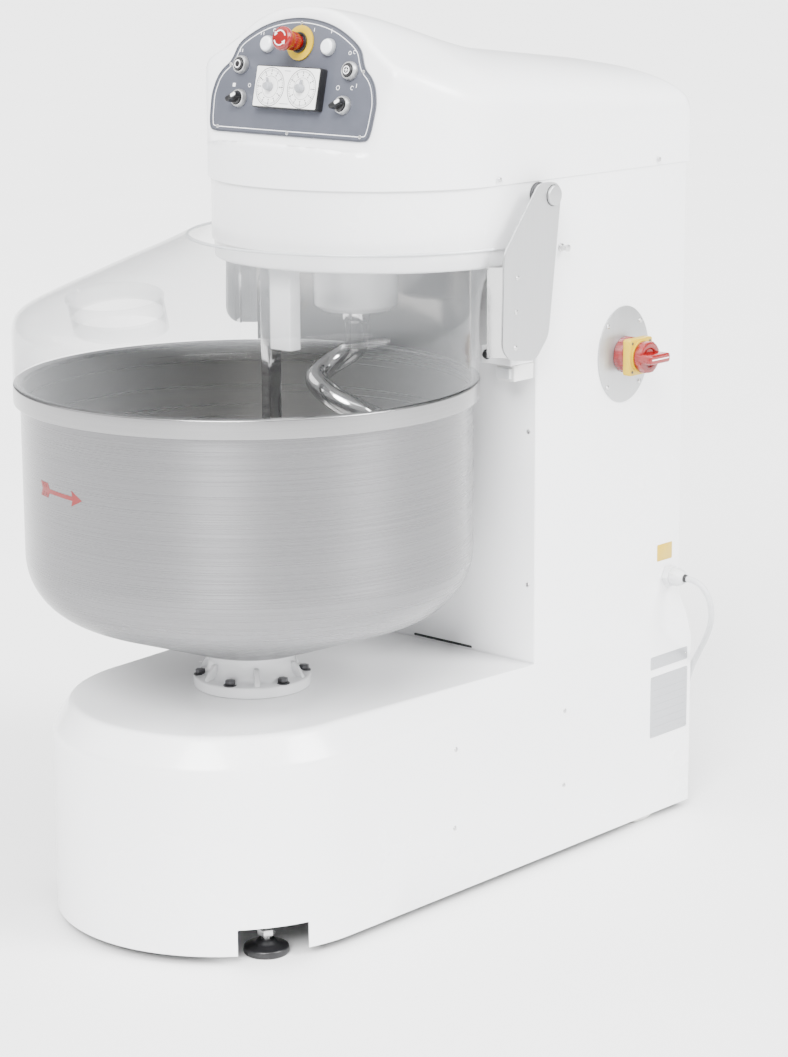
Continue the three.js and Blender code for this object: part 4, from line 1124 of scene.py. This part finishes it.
def make_spiral():
    axis = at(0, SPIRAL_Y, 0)
    collar = [(20.6, 962), (24, 966), (24, 981), (20.6, HUB_BOTTOM_Z)]
    shaft = lathe(rounded_profile([(0, 917), (20.6, 917)] + collar + [(20.6, 1236), (0, 1236)], 1.2, 3), 48)
    path = [spiral_point(k / 110) for k in range(111)]
    arm = tube(path, lambda t: 20.4 * min(1, 0.35 + 9 * (1 - t)), 28)
    parts = [(moved(shaft, axis), POLISHED), (arm, POLISHED)]
    piece("spiral_hook", "spiral", parts, ["spiral_arm"], crease=45)
    low, high = HUB_BOTTOM_Z, HEAD_BOTTOM_Z - GAP
    housing = rounded_profile([(24, low), (60, low), (72, low + 9), (72, high), (24, high), (24, low)], 3, 4)
    parts = [(moved(lathe(housing, 72), axis), PAINT)]
    parts.append((moved(ring_shape(33, 24.2, low - 3.5, low + 0.4, 0.8), axis), BLACK))
    piece("spiral_bearing", "root", parts, ["spiral_housing"])


def make_breaker():
    front = BREAKER_FRONT_Y
    high = HEAD_BOTTOM_Z - GAP
    post = block((-23.5, front, 936), (23.5, front + 27, high), 3, 2)
    piece("breaker_holder", "root", [(post, PAINT)], ["breaker_post"])
    bar = block((-46, front - 1, 480), (-23.8, front + 29, high), 4, 2.5)
    piece("breaker_blade", "root", [(bar, POLISHED)], ["breaker_bar"])
    face = axes((0, -1, 0), (0, 0, 1), (-1, 0, 0), (-46, front + 14, 0))
    bolts = [(moved(hex_bolt(16, 7, 1.5), face @ at(0, z, 0)), DARK_STEEL) for z in (1052, 1006, 958)]
    piece("breaker_bolts", "root", bolts)


def make_guard():
    """Bent stainless sheet that closes the gap between the bowl's rear rim and the head."""
    low, high = BOWL_TOP_Z + 3, HEAD_BOTTOM_Z - GAP
    outer_r = GUARD_R + 3
    section = ((GUARD_R, low), (outer_r, low), (outer_r, high), (GUARD_R, high))
    rings = []
    start, end = math.radians(48), math.radians(132)
    for k in range(61):
        angle = start + (end - start) * k / 60
        rings.append([(r * math.cos(angle), BOWL_Y + r * math.sin(angle), z) for r, z in section])
    piece("guard_sheet", "root", [(loft(rings), GUARD)], ["rear_guard"])


# ---- lid ----
def lid_line(u, wall):
    """One line of the lid's skin from the bowl's rim up to the ring round the head.

    u is -1 at the left end, 0 at the front and 1 at the right end."""
    end_angle = math.asin((LID_END_Y - BOWL_Y) / BOWL_RIM_R)
    wall_angle = -PI / 2 + u * (PI / 2 + end_angle)
    ring_angle = -PI / 2 + u * (PI / 2 - 0.122)
    wall_radius = BOWL_RIM_R - 0.4 - wall

    def on_wall(z):
        return Vector((wall_radius * math.cos(wall_angle), BOWL_Y + wall_radius * math.sin(wall_angle), z))

    ring_x, ring_y = (312 - wall) * math.cos(ring_angle), 60 + (311 - wall) * math.sin(ring_angle)
    ring = Vector((ring_x, ring_y, LID_RING_Z))
    line = [on_wall(z) for z in (LID_BOTTOM_Z, LID_BOTTOM_Z + 4, 946, 986)]
    top = on_wall(LID_SHOULDER_Z)
    shoulder = ((0.005, -0.12), (0.02, 0.0), (0.05, 0.075), (0.1, 0.15), (0.2, 0.262))
    roof = ((0.3, 0.368), (0.45, 0.515), (0.6, 0.665), (0.8, 0.84), (0.93, 0.95))
    for along, rise in shoulder + roof:
        point = top.lerp(ring, along)
        point.z = LID_SHOULDER_Z + (LID_RING_Z - LID_SHOULDER_Z) * rise - wall
        line.append(point)
    line += [ring + Vector((0, 0, -1.2 if wall else 0)), ring.copy()]
    return line


def make_lid():
    steps = 150
    stations = [1 - 2 * k / steps for k in range(steps + 1)]
    skin = loft([lid_line(u, 0) + lid_line(u, LID_SHEET)[::-1] for u in stations])
    place = at(*HOPPER_PLACE) @ Matrix.Rotation(HOPPER_TILT, 4, "X")

    def hopper_ring(grow, z):
        return [(x, y, z) for x, y in oval(HOPPER_R[0] + grow, HOPPER_R[1] + grow, 96)]

    outside = ((0, -22), (0, 20), (0.4, 29), (2.4, 32.4), (2.2, 33.8))
    inside = ((-0.8, 33.6), (-2.8, 30), (-3, 20), (-3, -22))
    collar = loft([hopper_ring(grow, z) for grow, z in outside + inside], cap=False)
    lid = piece("clear_lid", "lid", [(skin, CLEAR)], ["lid_cover"], crease=40)
    hole = [hopper_ring(-1.6, z) for z in (-70, 60)]
    cut_with(lid, moved(loft(hole), place), "hopper_cutter")
    piece("lid_hopper", "lid", [(moved(collar, place), CLEAR)], crease=40)
    bead = [lid_line(u, 0)[-1] - Vector((0, 0, 2.6)) for u in stations]
    piece("lid_ring_edge", "lid", [(tube(bead, lambda t: 2.3, 10), CLEAR_EDGE)])


def lid_arm_outline():
    rear_and_foot = [(181, 1197), (150, 957), (116, 919), (51, 927)]
    front_and_top = [(32, 946), (36, 1103), (126, 1212), (168, 1211)]
    return smooth_outline(rear_and_foot + front_and_top, 13, 5)


def mirror(shape):
    return [(-x, y, z) for x, y, z in shape[0]], [tuple(reversed(face)) for face in shape[1]]


def make_lid_arms():
    face = LID_ARM_OUTER
    pivot_axis = SIDEWAYS @ at(LID_PIVOT[0], LID_PIVOT[1], 0)
    plate_shape = moved(plate(lid_arm_outline(), face - 3.9, face, 1.0, 3), SIDEWAYS)
    pivot_disc = lathe(rounded_profile([(0, 0), (17, 0), (17, 4.6), (15.6, 6), (0, 6)], 1, 3), 48)
    pivot = moved(pivot_disc, pivot_axis @ at(0, 0, face))
    # The groove round the pivot disc is a thin near-black ring on its face: painted shade.
    groove_shade = moved(ring_shape(17.9, 16.9, face, face + 0.4, 0.1), pivot_axis)
    bush_profile = [(0, 0.3), (20, 0.3), (20, 6), (17, 6.4), (17, 30.6), (0, 30.6)]
    bush = moved(lathe(rounded_profile(bush_profile, 1, 2), 48), pivot_axis @ at(0, 0, HALF_WIDTH))
    section = [(320.5, 52), (320.5, 86), (317, 86), (316.4, 66), (286.6, 35), (288.4, 31.6)]
    angle = loft([[(x, y, z) for x, y in section] for z in (930, 1080)])
    screw_places = ((68, 1062), (66, 1005), (64, 946))
    screws = [moved(screw_head(4.4, 2.2), SIDEWAYS @ at(y, z, face)) for y, z in screw_places]
    for name, flip in (("right", lambda shape: shape), ("left", mirror)):
        body = [(flip(plate_shape), SATIN), (flip(angle), POLISHED)]
        piece(f"lid_side_{name}", "lid", body, [f"lid_arm_{name}"], crease=30)
        fittings = [(flip(pivot), SATIN), (flip(groove_shade), GAP_SHADE)]
        fittings += [(flip(shape), ZINC) for shape in screws]
        piece(f"lid_fittings_{name}", "lid", fittings)
        piece(f"pivot_bush_{name}", "root", [(flip(bush), DARK_STEEL)], [f"lid_bush_{name}"])


def make_lid_switch():
    """Bracket and switch body below the right lid arm, with the stop pin on the side of the head."""
    parts = [(block((217, 100, 906), (284, 160.6, 935), 3, 1.2), PAINT)]
    parts.append((block((246, 108, 878.4), (284, 160.6, 905.4), 2, 1.2), WHITE_PLASTIC))
    parts.append((block((250, 101, 883), (279, 108.6, 900), 1.5, 0.8), PALE_GREY))
    bolt_face = axes((1, 0, 0), (0, 0, 1), (0, -1, 0), (0, 100, 0))
    parts.append((moved(hex_bolt(11, 5, 1.2), bolt_face @ at(231, 921, 0)), DARK_STEEL))
    parts.append((moved(screw_head(3, 1.6), bolt_face @ at(262, 921, 0)), ZINC))
    piece("lid_switch", "root", parts, ["lid_switch_bracket"])
    pin_profile = [(0, 0), (7, 0), (7, 3), (4.5, 3.4), (4.5, 13), (6, 13.4), (6, 17), (0, 17)]
    pin = lathe(rounded_profile(pin_profile, 0.6, 2), 28)
    sides = ((RIGHT_SIDE, 1), (LEFT_SIDE, -1))
    shapes = [(moved(pin, side @ at(sign * 225, 1094, 0)), ZINC) for side, sign in sides]
    piece("lid_stops", "root", shapes)


make_spiral()
make_breaker()
make_guard()
make_lid()
make_lid_arms()
make_lid_switch()


# ---- side fittings ----
def make_switch():
    spot = RIGHT_SIDE @ at(SWITCH[0], SWITCH[1], 0)
    face = plate(oval(72, 85, 96), 0.3, 2.3, 0.7)
    parts = [(moved(face, spot), SATIN)]
    for y in (-46, 46):
        for z in (-54, 54):
            parts.append((moved(screw_head(4.2, 2.2), spot @ at(y, z, 2.3)), ZINC))
    piece("switch_disc", "root", parts, ["switch_plate"])
    body = rounded_profile([(0, 2.6), (31, 2.6), (31.6, 14), (30, 23.4), (0, 23.8)], 1.6, 3)
    parts = [(moved(lathe(body, 64), spot), DARK_RED)]
    for rib in around(block((-1, 30.6, 4), (1, 32, 22), 0.5, 0.3), 18):
        parts.append((moved(rib, spot), DARK_RED))
    piece("switch_body", "root", parts, ["switch_housing"])
    parts = [(moved(block((-32, -32, 24.3), (32, 32, 40), 5, 1.6), spot), YELLOW),
             (moved(ring_shape(29, 20, 40, 43, 1, 64), spot), YELLOW)]
    for y in (-25, 25):
        for z in (-25, 25):
            parts.append((moved(screw_head(2.6, 1.2), spot @ at(y, z, 40)), DARK_STEEL))
    piece("switch_surround", "root", parts, ["switch_escutcheon"])
    collar = ring_shape(27.5, 15, 43.4, 60, 2.4, 64)
    hub = lathe(rounded_profile([(0, 43.4), (17, 43.4), (16, 58), (0, 58)], 1.5, 3), 40)
    grip = plate(smooth_outline([(-28, -8.2), (28, -8.2), (28, 8.2), (-28, 8.2)], 6), 50, 82.6, 2.6, 3)
    parts = [(moved(collar, spot), RED), (moved(hub, spot), RED), (moved(grip, spot), RED)]
    for rib in around(block((-2.4, 24.6, 46), (2.4, 28.4, 59), 1, 0.8), 8, PI / 8):
        parts.append((moved(rib, spot), RED))
    parts.append((moved(block((-24, -1, 82), (24, 1, 82.9), 0.6, 0.3), spot), PRINT_WHITE))
    piece("switch_knob", "switch_handle", parts, ["switch_handle"])


def make_gland():
    spot = RIGHT_SIDE @ at(GLAND[0], GLAND[1], 0)
    nut = plate(oval(20.4, 20.4, 6), GAP, 12.5, 1.4, 3)
    dome_profile = [(0, 12), (16.4, 12), (16.4, 24), (14.4, 31), (9.5, 38), (7.4, 38.2), (7.4, 34), (0, 34)]
    dome = lathe(rounded_profile(dome_profile, 2, 3), 48)
    seal = lathe(rounded_profile([(0, 34), (7.2, 34), (7.2, 38), (6.4, 43.2), (0, 43.2)], 0.8, 3), 32)
    parts = [(moved(nut, spot), PALE_GREY), (moved(dome, spot), PALE_GREY), (moved(seal, spot), BLACK)]
    for rib in around(block((-1.4, 15.4, 13), (1.4, 17.2, 24), 0.6, 0.4), 12):
        parts.append((moved(rib, spot), PALE_GREY))
    piece("gland_body", "root", parts, ["cable_gland"])


def make_casing_screws():
    small = screw_head(4.1, 2.0)
    parts = []
    for side, flip in ((RIGHT_SIDE, 1), (LEFT_SIDE, -1)):
        for y, z in ((-46, 271), (248, 272), (-49, 132), (247, 135)):
            parts.append((moved(small, side @ at(flip * y, z, 0)), ZINC))
        for y, z in ((59, 1222), (493, 1222)):
            parts.append((moved(small, side @ at(flip * y, z, HOOD_HALF - HALF_WIDTH - 0.2)), ZINC))
    for x in (-273, 273):
        for z in (784, 515):
            parts.append((moved(small, COLUMN_FACE @ at(x, z, 0)), ZINC))
    for x in (-240, 0, 240):
        for z in (478, 820, 1162):
            parts.append((moved(small, REAR_FACE @ at(x, z, 0.2)), ZINC))
    piece("casing_screws", "root", parts)


def make_labels():
    """The painted shade of the slot below the front cover, the blank type plates and the plain yellow
    sticker.
    """
    # The slot is a thin near-black strip on the flat front cover: painted shade.
    slot_shade = plate(rounded_rectangle(11, 379, 147, 383.5, 2), -0.3, 0.2, 0.1)
    piece("cover_slot_shade", "root", [(moved(slot_shade, COLUMN_FACE), GAP_SHADE)])
    labels = [(moved(plate(rounded_rectangle(498, 291, 610, 315, 3), 0.02, 0.6, 0.2), RIGHT_SIDE), LABEL),
              (moved(plate(rounded_rectangle(499, 161, 611, 277, 3), 0.02, 0.6, 0.2), RIGHT_SIDE), LABEL)]
    for row in range(6):
        z = 250 - 14 * row
        rule = plate(rounded_rectangle(505, z, 605, z + 0.9, 0.3), 0.55, 0.66, 0.04, 1)
        labels.append((moved(rule, RIGHT_SIDE), GREY))
    for y, z in ((503, 165), (607, 165), (503, 273), (607, 273), (503, 303), (605, 303)):
        labels.append((moved(screw_head(1.9, 1.0), RIGHT_SIDE @ at(y, z, 0.6)), ZINC))
    piece("type_plates", "root", labels)
    sticker = plate(rounded_rectangle(512, 493, 557, 524, 2), 0.02, 0.35, 0.1)
    piece("yellow_label", "root", [(moved(sticker, RIGHT_SIDE), YELLOW)])


def make_feet_and_wheels():
    for side, sign in (("left", -1), ("right", 1)):
        x = sign * FOOT_CENTRE_R * math.cos(FOOT_ANGLE)
        y = BASE_NOSE_Y - FOOT_CENTRE_R * math.sin(FOOT_ANGLE)
        pad = rounded_profile([(0, 0), (37, 0), (38, 4), (37, 12), (20, 17), (14, 24), (0, 24)], 2, 3)
        stem = rounded_profile([(0, 24), (8, 24), (8, 108), (0, 108)], 0.8, 2)
        parts = [(moved(lathe(pad, 56), at(x, y, 0)), BLACK), (moved(lathe(stem, 32), at(x, y, 0)), ZINC),
                 (moved(hex_bolt(26, 12, 0), at(x, y, 30)), ZINC)]
        piece(f"foot_{side}", f"front_foot_{side}", parts, [f"front_foot_{side}"])
        low = 240 if sign > 0 else -240 - WHEEL_WIDTH
        near_face = [(11, 0), (24, 0), (26, 4), (62, 4), (64, 0), (72, 0), (78, 5)]
        far_face = [(r, WHEEL_WIDTH - depth) for r, depth in reversed(near_face)]
        tread = rounded_profile(near_face + far_face + [(11, 0)], 1.6, 2)
        wheel = moved(lathe(tread, 72), SIDEWAYS @ at(WHEEL[0], WHEEL[1], low))
        piece(f"wheel_{side}", f"rear_wheel_{side}", [(wheel, NYLON)], [f"rear_wheel_{side}"])


make_switch()
make_gland()
make_casing_screws()
make_labels()
make_feet_and_wheels()


# ---- pieces that keep their CAD shape ----
CAD_FINISH = {
    "base_frame": CAST, "column_frame": CAST, "bowl_shaft": ZINC, "bowl_pulley": CAST, "bowl_motor": MOTOR,
    "bowl_motor_pulley": CAST, "bowl_belt": RUBBER, "spiral_pulley": CAST, "spiral_motor": MOTOR,
    "spiral_motor_pulley": CAST, "spiral_belt": RUBBER, "electrical_box": PALE_GREY,
}
for node_name, finish_material in CAD_FINISH.items():
    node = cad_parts[node_name]
    node.data.materials.clear()
    node.data.materials.append(finish_material)


# ---- floor, light and the end ----
def make_stage():
    mesh = bpy.data.meshes.new("floor")
    half = 200  # metres, so that its edge stays below the horizon in every view
    corners = [(-half, -half, 0), (half, -half, 0), (half, half, 0), (-half, half, 0)]
    mesh.from_pydata(corners, [], [(0, 1, 2, 3)])
    mesh.materials.append(surface("floor", (0.86, 0.86, 0.86), 0.6, vary=0.006, scale=1.5))
    floor = add_object("floor", mesh)


def soft_sun(name, azimuth, elevation, spread, strength):
    """A wide, even light from far away: azimuth from +X towards +Y, all angles in degrees."""
    data = bpy.data.lights.new(name, "SUN")
    data.angle = math.radians(spread)
    data.energy = strength
    light = add_object(name, data)
    turn, rise = math.radians(azimuth), math.radians(elevation)
    source = Vector((math.cos(turn) * math.cos(rise), math.sin(turn) * math.cos(rise), math.sin(rise)))
    light.rotation_mode = "QUATERNION"
    light.rotation_quaternion = (-source).to_track_quat("-Z", "Y")
    light.location = source * 5


def make_lights():
    world = bpy.data.worlds.new("studio")
    bpy.context.scene.world = world
    world.use_nodes = True
    nodes, links = world.node_tree.nodes, world.node_tree.links
    backdrop = nodes["Background"]
    place = new_node(nodes, "TexCoord")
    split = new_node(nodes, "SeparateXYZ")
    links.new(place.outputs["Generated"], split.inputs["Vector"])
    ramp = colour_ramp(nodes, (0.5, (0.4, 0.4, 0.41, 1)), (0.95, (1, 1, 1, 1)))
    remap = new_node(nodes, "MapRange", From_Min=-1)
    links.new(split.outputs["Z"], remap.inputs["Value"])
    links.new(remap.outputs["Result"], ramp.inputs["Fac"])
    links.new(ramp.outputs["Color"], backdrop.inputs["Color"])
    set_inputs(backdrop, Strength=1.0)
    soft_sun("key", -62, 38, 30, 7.5)
    soft_sun("side", 20, 34, 26, 5.5)
    soft_sun("left", -150, 40, 40, 1.2)
    soft_sun("top", -40, 80, 70, 4.5)


make_stage()
make_lights()
